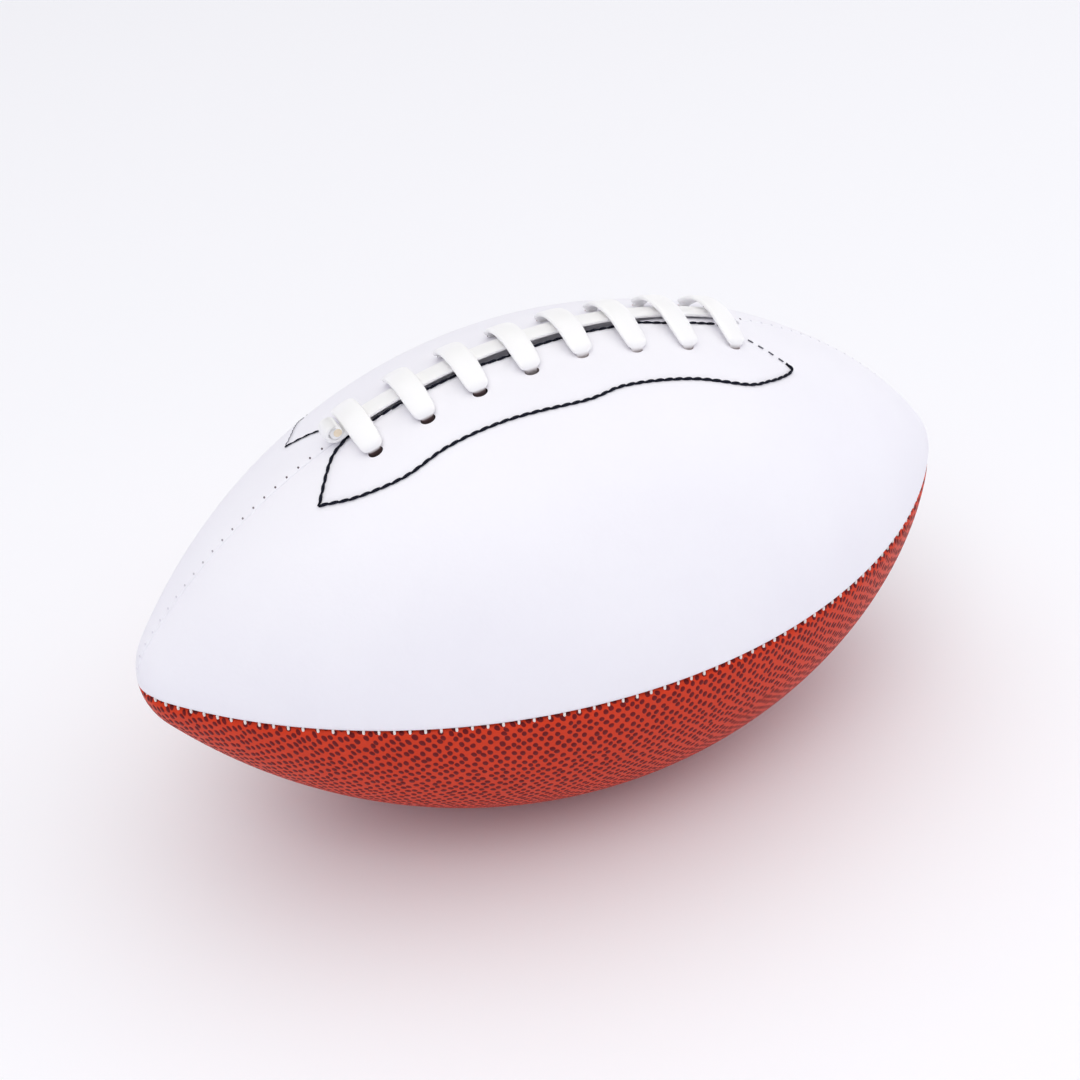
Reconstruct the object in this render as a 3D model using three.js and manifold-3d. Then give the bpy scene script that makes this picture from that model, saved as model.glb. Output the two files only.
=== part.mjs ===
// American football: four cover panels sewn inside out round a bladder and drawn shut by one lace.
// Millimetres, +Z up, long axis along X, lacing on top, the belly resting on z = 0.
import * as THREE from "three";
import { mergeVertices } from "three/addons/utils/BufferGeometryUtils.js";
import Module from "manifold-3d";

const wasm = await Module();
wasm.setup();

// The ball
const BALL_LENGTH = 254;
const BALL_DIAMETER = 140;
const NOSE_RADIUS = 19;
const REST_FLAT_DEPTH = 0.5;
const REST_FLAT_WIDTH = 12.4;
const REST_FLAT_LENGTH = 16;

// Cover, lining and bladder
const COVER_THICKNESS = 2.2;
const LINING_THICKNESS = 1.5;
const BLADDER_WALL = 1;
const SEAM_ROLL = 2;
const SEAM_TURN_IN = 4.3;
const SEAM_INNER_BEND = 0.8;
const SEAM_GAP = 0.3;
const CLEARANCE = 0.3;
const LOOSE_FIT = 0.6;

// Lacing: crosses over a lengthwise band, through two rows of holes beside a slit in the top seam
const LACE_CROSSES = 8;
const LACE_PITCH = 15;
const LACING_CENTRE = -5.1;
const LACE_WIDTH = 7;
const LACE_HOLE_WIDTH = 4.4;
const LACE_THICKNESS = 1.6;
const LACE_FLAT_SHARE = 0.6;
const LACE_BEND = 2.3;
const LACE_ROW_OFFSET = 11.6;
const LACE_FLARE = 4.1;
const LACE_FLARE_SHARES = [0.55, 0.82];
const LACE_SELF_GAP = 0.6;
const LACE_RISE = 1.2;
const LACE_SHOULDER = 3.6;
const LACE_SHOULDER_REACH = 0.3;
const LACE_INNER_TURN = 5;
const LACE_TAIL = 9;
const LACE_END_WIDTH = 6;
const LACE_END_ROLL = 2.5;
const LACE_END_CORE = 1.25;
const LACE_END_CURL = THREE.MathUtils.degToRad(270);
const HOLE_EASE = 0.6;
const HOLE_SLACK = 1;
const SLIT_WIDTH = 2.8;
const SLIT_LEAD = 4;
const BAND_SHIFT = 0.2;

// Patch behind each row of holes. Its sewn edge is given as shares of the lacing and distances from the seam,
// its tip as leads past the last cross and distances from the seam.
const PATCH_EDGE_FRONT = [
  [-0.083, 21], [0.03, 24.4], [0.15, 23.6], [0.3, 24.7], [0.5, 27.8], [0.62, 26.7], [0.8, 28.3], [0.95, 31.2],
];
const PATCH_EDGE_BACK = [[-0.12, 39], [0.03, 46], [0.3, 47], [0.5, 46], [0.67, 44], [0.95, 40]];
const PATCH_CORNER = { lead: 17.5, across: 15.5 };
const PATCH_TIP = [[8.6, 27.5], [13.7, 24], [13.2, 21.7]];
const PATCH_MARGIN = 2.5;
const SLIT_STITCH_OFFSET = 2;

// Tongue below the slit
const TONGUE_WIDTH = 28;
const TONGUE_THICKNESS = 1;
const TONGUE_LEAD = 7;

// Threads
const SEAM_THREAD = 0.5;
const PATCH_THREAD = 0.6;

// Valve, in the middle of the rear pebbled panel
const VALVE_STEM = 8;
const VALVE_BORE = 3.4;
const VALVE_FLANGE = 18;
const VALVE_FLANGE_THICKNESS = 1;
const VALVE_CORE_COLLAR = 5;
const VALVE_RECESS = 0.6;

// Facets
const PANEL_COLUMNS = 6;
const BELLY_STEPS = 7;
const NOSE_STEPS = 3;
const CROSS_STEPS = 20;
const BEND_STEPS = 3;
const EDGE_STEPS = 34;
const LEG_STEPS = 8;
const THREAD_SIDES = 5;
const VALVE_SIDES = 16;
const NOSE_OPENING = THREE.MathUtils.degToRad(3);

// Layers, as depths below the outer surface; a flat facet lies this much below the round surface
const halfLength = BALL_LENGTH / 2;
const ballRadius = BALL_DIAMETER / 2;
const facetAngle = Math.PI / 2 / PANEL_COLUMNS;
const facetSag = ballRadius * (1 - Math.cos(facetAngle / 2));
const liningTop = COVER_THICKNESS + CLEARANCE;
const liningBottom = liningTop + LINING_THICKNESS;
const bladderTop = Math.max(liningBottom + LOOSE_FIT, SEAM_TURN_IN + CLEARANCE);
const bladderBottom = bladderTop + BLADDER_WALL;
const laceRunDepth = liningBottom + facetSag + LOOSE_FIT + LACE_THICKNESS / 2;
const tongueTop = laceRunDepth + LACE_THICKNESS / 2 + CLEARANCE;
const bladderDent = tongueTop + TONGUE_THICKNESS + LOOSE_FIT - bladderTop;
const coverInset = SEAM_GAP / 2 + SEAM_ROLL;
const innerInset = SEAM_GAP / 2 + COVER_THICKNESS;
const liningInset = innerInset + SEAM_INNER_BEND + CLEARANCE;

// The lacing's main places along the ball
const lacingLength = LACE_PITCH * (LACE_CROSSES - 1);
const firstCross = LACING_CENTRE - lacingLength / 2;
const lastCross = LACING_CENTRE + lacingLength / 2;
const diveStart = lastCross + LACE_INNER_TURN;
const diveHole = diveStart + LACE_BEND;
const diveHalfLength = LACE_THICKNESS / 2 + HOLE_EASE;
const slitStart = firstCross - SLIT_LEAD;
const slitEnd = diveHole + diveHalfLength;

// The ball's outline in any plane through its long axis is a belly arc that runs tangent into a nose arc.
// A place along it is named by its lean: the angle of the surface normal away from square to that axis.
const noseCentre = halfLength - NOSE_RADIUS;
const bellyRadius = (noseCentre ** 2 + ballRadius ** 2 - NOSE_RADIUS ** 2) / (2 * (ballRadius - NOSE_RADIUS));
const joinLean = Math.atan2(noseCentre, bellyRadius - ballRadius);

function outline(lean, depth = 0) {
  const steep = Math.abs(lean);
  const onNose = steep > joinLean;
  const arc = (onNose ? NOSE_RADIUS : bellyRadius) - depth;
  const along = (onNose ? noseCentre : 0) + arc * Math.sin(steep);
  const radius = arc * Math.cos(steep) - (onNose ? 0 : bellyRadius - ballRadius);
  return { along: Math.sign(lean) * along, radius };
}

function leanAt(x) {
  return Math.asin(x / bellyRadius);
}

// Numbers spread evenly from one value to another
function spread(from, to, steps) {
  return Array.from({ length: steps + 1 }, (_, i) => from + ((to - from) * i) / steps);
}

// Stations from tip to tip; the middle two bound the flat that the ball rests on
const halfLeans = [
  ...spread(leanAt(REST_FLAT_LENGTH / 2), joinLean, BELLY_STEPS),
  ...spread(joinLean, Math.PI / 2 - NOSE_OPENING, NOSE_STEPS).slice(1),
];
const leans = [...halfLeans.map((lean) => -lean).reverse(), ...halfLeans];

// Directions at a place on the top of the ball: along the seam, across it and out of the surface.
// across is measured along the surface from the lacing seam, positive towards +Y.
function frameAt(x, across) {
  const lean = leanAt(x);
  const angle = across / outline(lean).radius;
  const side = new THREE.Vector3(0, Math.sin(angle), Math.cos(angle));
  return {
    lean,
    side,
    along: new THREE.Vector3(Math.cos(lean), 0, 0).addScaledVector(side, -Math.sin(lean)),
    across: new THREE.Vector3(0, Math.cos(angle), -Math.sin(angle)),
    out: new THREE.Vector3(Math.sin(lean), 0, 0).addScaledVector(side, Math.cos(lean)),
  };
}

function onBall(x, across, height) {
  const { lean, side } = frameAt(x, across);
  const { along, radius } = outline(lean, -height);
  return new THREE.Vector3(along, 0, 0).addScaledVector(side, radius);
}

// Joins a row of equal loops into one closed skin, joined end to end or capped at both ends.
// A cap is triangulated on a flat layout of its loop.
function loft(loops, ring = false, layout = flattened) {
  const size = loops[0].length;
  const index = [];
  const rows = ring ? loops.length : loops.length - 1;
  for (let row = 0; row < rows; row++) {
    const next = (row + 1) % loops.length;
    for (let i = 0; i < size; i++) {
      const j = (i + 1) % size;
      const [a, b, c, d] = [row * size + i, row * size + j, next * size + j, next * size + i];
      index.push(a, b, c, a, c, d);
    }
  }
  if (!ring) {
    const end = loops.length - 1;
    for (const [a, b, c] of capFaces(layout(loops[0], 0))) index.push(c, b, a);
    for (const face of capFaces(layout(loops[end], end))) index.push(...face.map((corner) => end * size + corner));
  }
  return closedGeometry(loops.flat(), index);
}

// A loop laid flat in its own plane
function flattened(loop) {
  const normal = new THREE.Vector3();
  loop.forEach((point, i) => normal.add(new THREE.Vector3().crossVectors(point, loop[(i + 1) % loop.length])));
  const turn = new THREE.Quaternion().setFromUnitVectors(normal.normalize(), new THREE.Vector3(0, 0, 1));
  return loop.map((point) => {
    const turned = point.clone().applyQuaternion(turn);
    return new THREE.Vector2(turned.x, turned.y);
  });
}

// Triangles across a flat loop, wound the way the loop runs
function capFaces(flat) {
  const faces = THREE.ShapeUtils.triangulateShape(flat, []);
  return THREE.ShapeUtils.isClockWise(flat) ? faces.map((face) => face.reverse()) : faces;
}

// A BufferGeometry whose faces point out
function closedGeometry(points, index) {
  let volume = 0;
  for (let i = 0; i < index.length; i += 3) {
    const [a, b, c] = [points[index[i]], points[index[i + 1]], points[index[i + 2]]];
    volume += a.dot(new THREE.Vector3().crossVectors(b, c));
  }
  if (volume < 0) index.reverse();
  const geometry = new THREE.BufferGeometry().setFromPoints(points);
  geometry.setIndex(index);
  return geometry;
}

// Solids for cutting and joining
function solid(geometry) {
  const bare = geometry.clone();
  bare.deleteAttribute("normal");
  bare.deleteAttribute("uv");
  const merged = mergeVertices(bare, 1e-5);
  const vertProperties = new Float32Array(merged.attributes.position.array);
  const triVerts = new Uint32Array(merged.index.array);
  return new wasm.Manifold(new wasm.Mesh({ numProp: 3, vertProperties, triVerts }));
}

function geometryOf(manifold) {
  const { vertProperties, triVerts } = manifold.getMesh();
  const geometry = new THREE.BufferGeometry();
  geometry.setAttribute("position", new THREE.BufferAttribute(new Float32Array(vertProperties), 3));
  geometry.setIndex(new THREE.BufferAttribute(new Uint32Array(triVerts), 1));
  return geometry;
}

function cut(geometry, ...cutters) {
  return geometryOf(cutters.reduce((body, cutter) => body.subtract(solid(cutter)), solid(geometry)));
}

// A quarter of the ball between two seams. A column of its section lies at an inset from one seam's plane,
// or at a share of the way between the two rolled edges; insets fade where the quarters meet at a nose.
const insetFade = 4 * (innerInset + SEAM_INNER_BEND);

function fadedInset(inset, lean) {
  const fade = Math.min(1, outline(lean).radius / insetFade);
  return SEAM_GAP / 2 + (inset - SEAM_GAP / 2) * fade;
}

function columnAngle(column, lean) {
  const edge = Math.asin(fadedInset(coverInset, lean) / outline(lean).radius);
  const atShare = (share) => edge + (Math.PI / 2 - 2 * edge) * share;
  if (column.inset === undefined) return atShare(column.share);
  const inset = Math.asin(fadedInset(column.inset, lean) / outline(lean, column.depth).radius);
  const angle = Math.min(inset, atShare(column.within ?? 1));
  return column.far ? Math.PI / 2 - angle : angle;
}

function quarter(section, stations, { near, far }, floor = -ballRadius) {
  const place = (column, lean) => {
    const { along, radius } = outline(lean, column.depth);
    const angle = columnAngle(column, lean);
    const point = new THREE.Vector3(along, 0, 0);
    point.addScaledVector(near, radius * Math.cos(angle)).addScaledVector(far, radius * Math.sin(angle));
    point.z = Math.max(point.z, floor);
    return point;
  };
  const layout = (_, i) => {
    return section.map((column) => new THREE.Vector2(columnAngle(column, stations[i]), column.depth));
  };
  return loft(stations.map((lean) => section.map((column) => place(column, lean))), false, layout);
}

const shares = spread(0, 1, PANEL_COLUMNS).slice(1, -1);
const middle = (depth) => shares.map((share) => ({ share, depth }));
const atFarSeam = (columns) => columns.map((column) => ({ ...column, far: true }));

// Cover section: the edges roll over and turn in along the seams, where they are sewn face to face
function coverSection(restColumns = []) {
  const roll = spread(Math.PI / 2, 0, 3).map((angle) => ({
    inset: SEAM_GAP / 2 + SEAM_ROLL * (1 - Math.sin(angle)),
    depth: SEAM_ROLL * (1 - Math.cos(angle)),
  }));
  const outerEdge = [{ inset: SEAM_GAP / 2, depth: SEAM_TURN_IN }, ...roll];
  const innerEdge = [
    { inset: innerInset, depth: SEAM_TURN_IN },
    { inset: innerInset, depth: COVER_THICKNESS + SEAM_INNER_BEND },
    { inset: innerInset + SEAM_INNER_BEND, depth: COVER_THICKNESS },
  ];
  return [
    ...outerEdge,
    ...restColumns,
    ...middle(0),
    ...atFarSeam(outerEdge).reverse(),
    ...atFarSeam(innerEdge),
    ...middle(COVER_THICKNESS).reverse(),
    ...innerEdge.reverse(),
  ];
}

// Lining section: a plain layer that stops short of the turned-in edges
function liningSection() {
  const [top, bottom] = [liningTop, liningBottom].map((depth) => ({ inset: liningInset, depth }));
  return [
    top,
    ...middle(liningTop),
    ...atFarSeam([top, bottom]),
    ...middle(liningBottom).reverse(),
    bottom,
  ];
}

// The four quarters, each between a near and a far seam
const UP = new THREE.Vector3(0, 0, 1);
const DOWN = new THREE.Vector3(0, 0, -1);
const FRONT = new THREE.Vector3(0, -1, 0);
const BACK = new THREE.Vector3(0, 1, 0);
const restPlane = REST_FLAT_DEPTH - ballRadius;
const restColumn = { inset: REST_FLAT_WIDTH / 2, depth: 0, within: 0.5 / PANEL_COLUMNS };

function coverPanel(near, far) {
  const rests = near === DOWN;
  return quarter(coverSection(rests ? [restColumn] : []), leans, { near, far }, restPlane);
}

function liningPanel(near, far) {
  return quarter(liningSection(), leans.slice(1, -1), { near, far });
}

// A hole square to the surface, with chamfered corners, through every layer outside the lace's inside runs
function surfaceHole(x, across, halfAlong, halfAcross) {
  const chamfer = 0.6 * Math.min(halfAlong, halfAcross);
  const corner = [
    [halfAlong, halfAcross - chamfer],
    [halfAlong - chamfer, halfAcross],
  ];
  const opposite = corner.map(([a, b]) => [-a, b]).reverse();
  const half = [...corner, ...opposite];
  const loop = [...half, ...half.map(([a, b]) => [-a, -b])];
  const ends = [HOLE_SLACK, -laceRunDepth];
  return loft(ends.map((height) => loop.map(([a, b]) => onBall(x + a, across + b, height))));
}

// Lace holes: the slack lies outside the lace, where the hole shows. The front row flares at its right end.
const crossPlaces = spread(firstCross, lastCross, LACE_CROSSES - 1);
const holeHalfAlong = LACE_HOLE_WIDTH / 2 + HOLE_EASE;
const holeHalfAcross = (LACE_THICKNESS + HOLE_EASE + HOLE_SLACK) / 2;
const [flareStart, flareEnd] = LACE_FLARE_SHARES.map((share) => firstCross + share * lacingLength);

function rowOffset(x, side) {
  const flare = side < 0 ? LACE_FLARE * THREE.MathUtils.smoothstep(x, flareStart, flareEnd) : 0;
  return side * (LACE_ROW_OFFSET + flare);
}

function laceHoles(side) {
  const shift = (side * (HOLE_SLACK - HOLE_EASE)) / 2;
  return crossPlaces.map((x) => surfaceHole(x, rowOffset(x, side) + shift, holeHalfAlong, holeHalfAcross));
}

// The slit in the top seam, and the wider hole at its end where the lace dives inside
function slitCutters() {
  const section = [
    [-SLIT_WIDTH / 2, HOLE_SLACK],
    [SLIT_WIDTH / 2, HOLE_SLACK],
    [SLIT_WIDTH / 2, -laceRunDepth],
    [-SLIT_WIDTH / 2, -laceRunDepth],
  ];
  const stations = spread(slitStart, diveHole, LACE_CROSSES);
  const slit = loft(stations.map((x) => section.map(([across, height]) => onBall(x, across, height))));
  return [slit, surfaceHole(diveHole, 0, diveHalfLength, holeHalfAlong)];
}

// Sewn outline of a patch, as places along and across: the wavy edge, the tip, the slit side and the corner
function patchOutline(side) {
  const corner = new THREE.Vector2(firstCross - PATCH_CORNER.lead, PATCH_CORNER.across);
  const tip = PATCH_TIP.map(([lead, across]) => new THREE.Vector2(lastCross + lead, across));
  const slitLeft = new THREE.Vector2(slitStart, SLIT_STITCH_OFFSET);
  const slitRight = new THREE.Vector2(lastCross, SLIT_STITCH_OFFSET);
  const hollow = new THREE.Vector2((corner.x + slitLeft.x) / 2, SLIT_STITCH_OFFSET + SLIT_LEAD);
  const shape = side < 0 ? PATCH_EDGE_FRONT : PATCH_EDGE_BACK;
  const wave = shape.map(([share, across]) => new THREE.Vector2(firstCross + share * lacingLength, across));
  const edge = new THREE.SplineCurve([corner, ...wave, ...tip]).getSpacedPoints(EDGE_STEPS);
  const slitSide = new THREE.LineCurve(slitRight, slitLeft).getSpacedPoints(3 * LACE_CROSSES);
  const tipLeg = new THREE.LineCurve(tip.at(-1), slitRight).getSpacedPoints(LEG_STEPS);
  const cornerLeg = new THREE.QuadraticBezierCurve(slitLeft, hollow, corner).getSpacedPoints(LEG_STEPS);
  return [edge, tipLeg, slitSide, cornerLeg].flatMap((points) => points.slice(0, -1));
}

// The same loop moved outwards by a margin
function widened(loop, margin) {
  const turned = (from, to) => to.clone().sub(from).normalize().rotateAround(new THREE.Vector2(), Math.PI / 2);
  return loop.map((point, i) => {
    const before = turned(loop.at(i - 1), point);
    const after = turned(point, loop[(i + 1) % loop.length]);
    const bisector = before.clone().add(after).normalize();
    return point.clone().addScaledVector(bisector, margin / Math.max(0.5, bisector.dot(before)));
  });
}

// An upright prism over that outline, for cutting the patch and the lining round it
function patchPrism(side, margin) {
  const plan = widened(patchOutline(side), margin).map(({ x, y }) => {
    const point = onBall(x, side * Math.max(y, 0), 0);
    return new THREE.Vector2(point.x, point.y);
  });
  const prism = new THREE.ExtrudeGeometry(new THREE.Shape(plan), { depth: ballRadius, bevelEnabled: false });
  return prism;
}

function lacePatch(side, blank) {
  const shape = solid(blank).intersect(solid(patchPrism(side, PATCH_MARGIN)));
  return cut(geometryOf(shape), ...laceHoles(side));
}

// Lace: one strip from its rolled end, along the slit under every cross, down the end of the slit, and back
// through the two rows of holes. Each place gives x, across, height and the turn of the strip's width axis.
const bandHeight = 2 * CLEARANCE + PATCH_THREAD + LACE_THICKNESS / 2;
const bandStart = firstCross - LACE_WIDTH / 2 - LACE_SELF_GAP - LACE_END_CORE - LACE_THICKNESS / 2;
const crossHeight = bandHeight + LACE_THICKNESS + LACE_SELF_GAP;
const bendAngles = spread(0, Math.PI / 2, BEND_STEPS);

function bandMiddle(x) {
  return BAND_SHIFT * (1 - THREE.MathUtils.smoothstep(x, lastCross - LACE_PITCH, diveStart));
}

function bandPlaces() {
  const places = [];
  for (const angle of spread(LACE_END_CURL, 0, 3 * BEND_STEPS)) {
    const radius = THREE.MathUtils.lerp(LACE_END_ROLL, LACE_END_CORE, angle / LACE_END_CURL);
    const height = bandHeight + LACE_END_ROLL - radius * Math.cos(angle);
    places.push([bandStart - radius * Math.sin(angle), BAND_SHIFT, height, -Math.PI / 2]);
  }
  for (const along of spread(bandStart, diveStart, 2 * LACE_CROSSES).slice(1)) {
    places.push([along, bandMiddle(along), bandHeight, -Math.PI / 2]);
  }
  return places;
}

function divePlaces() {
  const places = [];
  const flat = -Math.PI / 2;
  const turnDepth = laceRunDepth - LACE_BEND;
  for (const angle of bendAngles.slice(1)) {
    const drop = LACE_BEND * (1 - Math.cos(angle));
    places.push([diveStart + LACE_BEND * Math.sin(angle), 0, bandHeight - drop, flat]);
  }
  for (const angle of bendAngles) {
    places.push([diveStart + LACE_BEND * Math.cos(angle), 0, -turnDepth - LACE_BEND * Math.sin(angle), flat]);
  }
  for (const angle of bendAngles.slice(1)) {
    const x = diveStart - LACE_INNER_TURN * Math.sin(angle);
    places.push([x, -LACE_INNER_TURN * (1 - Math.cos(angle)), -laceRunDepth, flat + angle]);
  }
  return places;
}

// A quarter bend between a hole and the run inside that heads towards another place
function holeBend({ x, y }, heading) {
  return bendAngles.slice(1).map((angle) => {
    const reach = LACE_BEND * (1 - Math.cos(angle));
    const height = LACE_BEND * (1 - Math.sin(angle)) - laceRunDepth;
    return [x + heading.x * reach, y + heading.y * reach, height, 0];
  });
}

// A cross, drawn tight: out of its front hole, up over the band and down its back hole
function crossPlacesOver(x) {
  const foot = LACE_BEND - laceRunDepth;
  const [front, back] = [-1, 1].map((side) => rowOffset(x, side));
  const reach = LACE_WIDTH / 2 + LACE_SHOULDER_REACH;
  const corners = [
    [front, foot],
    [front, LACE_RISE],
    [bandMiddle(x) - reach, crossHeight],
    [bandMiddle(x) + reach, crossHeight],
    [back, LACE_RISE],
    [back, foot],
  ].map(([across, height]) => new THREE.Vector2(across, height));
  const path = new THREE.Path([corners[0]]);
  for (let i = 1; i + 1 < corners.length; i++) {
    const [before, corner, after] = corners.slice(i - 1, i + 2);
    const trim = i === 1 || i + 2 === corners.length ? LACE_RISE : LACE_SHOULDER;
    const start = corner.clone().lerp(before, trim / corner.distanceTo(before));
    const end = corner.clone().lerp(after, trim / corner.distanceTo(after));
    path.lineTo(start.x, start.y).quadraticCurveTo(corner.x, corner.y, end.x, end.y);
  }
  path.lineTo(corners.at(-1).x, corners.at(-1).y);
  return path.getSpacedPoints(CROSS_STEPS).map((point) => [x, point.x, point.y, 0]);
}

function lacePlaces() {
  const hole = (x, side) => new THREE.Vector2(x, rowOffset(x, side));
  const places = [...bandPlaces(), ...divePlaces()];
  places.push(...holeBend(hole(lastCross, -1), new THREE.Vector2(0, 1)).reverse());
  for (const x of [...crossPlaces].reverse()) {
    const isLast = x === crossPlaces[0];
    const under = hole(x - LACE_PITCH, -1).sub(hole(x, 1));
    const heading = under.clone().normalize();
    places.push(...crossPlacesOver(x), ...holeBend(hole(x, 1), heading));
    const length = isLast ? LACE_TAIL : under.length() - LACE_BEND;
    for (const run of spread(LACE_BEND, length, BEND_STEPS).slice(1, isLast ? undefined : -1)) {
      const spot = hole(x, 1).addScaledVector(heading, run);
      places.push([spot.x, spot.y, -laceRunDepth, 0]);
    }
    if (!isLast) places.push(...holeBend(hole(x - LACE_PITCH, -1), heading.negate()).reverse());
  }
  return places;
}

// The strip is squeezed in its holes and rolled narrow at its end
function laceWidth(x, height) {
  const risen = THREE.MathUtils.smoothstep(height, 0, bandHeight);
  const squeezed = THREE.MathUtils.lerp(LACE_HOLE_WIDTH, LACE_WIDTH, risen);
  const rolled = THREE.MathUtils.smoothstep(x, bandStart + LACE_END_CORE, firstCross);
  return THREE.MathUtils.lerp(LACE_END_WIDTH, squeezed, height > 0 ? rolled : 1);
}

// Rounds of the strip: six corners about each place, flat side to the ball
function laceRounds() {
  const places = lacePlaces();
  const points = places.map(([x, across, height]) => onBall(x, across, height));
  return places.map(([x, across, height, turn], i) => {
    const frame = frameAt(x, across);
    const half = laceWidth(x, height) / 2;
    const before = points[Math.max(i - 1, 0)];
    const after = points[Math.min(i + 1, points.length - 1)];
    const heading = after.clone().sub(before).normalize();
    const wide = frame.along.clone().multiplyScalar(Math.cos(turn)).addScaledVector(frame.across, Math.sin(turn));
    const thick = new THREE.Vector3().crossVectors(heading, wide).normalize();
    const [flat, rise] = [half * LACE_FLAT_SHARE, LACE_THICKNESS / 2];
    const corners = [[half, 0], [flat, rise], [-flat, rise], [-half, 0], [-flat, -rise], [flat, -rise]];
    return corners.map(([a, b]) => points[i].clone().addScaledVector(wide, a).addScaledVector(thick, b));
  });
}

// Least distance between stretches of a sweep that lie well apart along it, measured on points of its faces
function leastSelfGap(rounds, apart, density = 3) {
  const cloud = [];
  let travelled = 0;
  for (let row = 0; row + 1 < rounds.length; row++) {
    for (let i = 0; i < rounds[row].length; i++) {
      const j = (i + 1) % rounds[row].length;
      for (let u = 0; u < density; u++) {
        for (let v = 0; v < density; v++) {
          const low = rounds[row][i].clone().lerp(rounds[row][j], u / density);
          const high = rounds[row + 1][i].clone().lerp(rounds[row + 1][j], u / density);
          const point = low.lerp(high, v / density);
          cloud.push({ x: point.x, y: point.y, z: point.z, travelled });
        }
      }
    }
    travelled += rounds[row][0].distanceTo(rounds[row + 1][0]);
  }
  let least = Infinity;
  for (let i = 0; i < cloud.length; i++) {
    const a = cloud[i];
    for (let j = cloud.length - 1; j > i && cloud[j].travelled - a.travelled > apart; j--) {
      const b = cloud[j];
      const squared = (a.x - b.x) ** 2 + (a.y - b.y) ** 2 + (a.z - b.z) ** 2;
      if (squared < least) least = squared;
    }
  }
  return Math.sqrt(least);
}

// Tongue: a strip between the lace's inside runs and the bladder
function tongue() {
  const columns = spread(-TONGUE_WIDTH / 2, TONGUE_WIDTH / 2, 4);
  const section = [
    ...columns.map((across) => [across, -tongueTop]),
    ...columns.map((across) => [across, -tongueTop - TONGUE_THICKNESS]).reverse(),
  ];
  const stations = spread(firstCross - TONGUE_LEAD, slitEnd, LACE_CROSSES);
  return loft(stations.map((x) => section.map(([across, height]) => onBall(x, across, height))));
}

// Bladder: a thin balloon pressed in below the lacing, with a hole for its valve
function bladder() {
  const ring = (lean, depth) => {
    const angles = [0, ...shares.map((share) => columnAngle({ share }, lean))];
    const turns = [0, 1, 2, 3].flatMap((seam) => angles.map((angle) => angle + (seam * Math.PI) / 2));
    const x = outline(lean).along;
    const beyond = Math.max(firstCross - TONGUE_LEAD - x, x - slitEnd, 0);
    const alongFade = 1 - THREE.MathUtils.smoothstep(beyond, LACE_PITCH / 2, 2.5 * LACE_PITCH);
    return turns.map((turn) => {
      const acrossFade = Math.cos(turn) > Math.cos(1.5 * facetAngle) ? 1 : 0;
      const { along, radius } = outline(lean, depth + bladderDent * alongFade * acrossFade);
      return new THREE.Vector3(along, radius * Math.sin(turn), radius * Math.cos(turn));
    });
  };
  const balloon = (depth) => loft(leans.map((lean) => ring(lean, depth)));
  return cut(balloon(bladderTop), balloon(bladderBottom), valveHole());
}

// Valve: a moulded seat dished to the bladder's inside, and the core that seals it
const valveAxis = DOWN.clone().add(BACK).normalize();
const valveTurn = new THREE.Quaternion().setFromUnitVectors(new THREE.Vector3(0, 1, 0), valveAxis);

function valveHole() {
  const hole = new THREE.CylinderGeometry(VALVE_STEM / 2 + CLEARANCE, VALVE_STEM / 2 + CLEARANCE, ballRadius, VALVE_SIDES);
  return hole.applyQuaternion(valveTurn).translate(...valveAxis.clone().multiplyScalar(ballRadius));
}

const seatDepth = (radius) => bladderBottom + CLEARANCE + radius * Math.tan(facetAngle / 2);
const seatFoot = seatDepth(VALVE_FLANGE / 2) + VALVE_FLANGE_THICKNESS;

function turned(profile) {
  const points = profile.map(([radius, depth]) => new THREE.Vector2(radius, ballRadius - depth));
  return new THREE.LatheGeometry(points, VALVE_SIDES).applyQuaternion(valveTurn);
}

function valveSeat() {
  const rim = [VALVE_BORE / 2, VALVE_RECESS];
  return turned([
    rim,
    [VALVE_BORE / 2, seatFoot],
    [VALVE_FLANGE / 2, seatFoot],
    [VALVE_FLANGE / 2, seatDepth(VALVE_FLANGE / 2)],
    [VALVE_STEM / 2, seatDepth(VALVE_STEM / 2)],
    [VALVE_STEM / 2, VALVE_RECESS],
    rim,
  ]);
}

function valveCore() {
  const collarTop = seatFoot + CLEARANCE;
  const stem = VALVE_BORE / 2 - CLEARANCE;
  return turned([
    [0, collarTop + VALVE_FLANGE_THICKNESS],
    [VALVE_CORE_COLLAR / 2, collarTop + VALVE_FLANGE_THICKNESS],
    [VALVE_CORE_COLLAR / 2, collarTop],
    [stem, collarTop],
    [stem, 2 * VALVE_RECESS],
    [0, 2 * VALVE_RECESS],
  ]);
}

// Threads: a round section swept along points, with the direction out of the surface at each
function thread(points, outs, diameter, ring = false) {
  const last = points.length - 1;
  const rounds = points.map((point, i) => {
    const before = points[ring ? (i + last) % (last + 1) : Math.max(i - 1, 0)];
    const after = points[ring ? (i + 1) % (last + 1) : Math.min(i + 1, last)];
    const heading = after.clone().sub(before).normalize();
    const sideways = new THREE.Vector3().crossVectors(heading, outs[i]).normalize();
    return spread(0, 2 * Math.PI, THREAD_SIDES).slice(0, -1).map((angle) => {
      const arm = outs[i].clone().multiplyScalar(Math.cos(angle)).addScaledVector(sideways, Math.sin(angle));
      return point.clone().addScaledVector(arm, diameter / 2);
    });
  });
  return loft(rounds, ring);
}

// A seam's thread lies in the groove between the two rolled edges
const threadReach = SEAM_ROLL + SEAM_THREAD / 2 + CLEARANCE / 2;
const threadDepth = SEAM_ROLL - Math.sqrt(threadReach ** 2 - coverInset ** 2);

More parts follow.
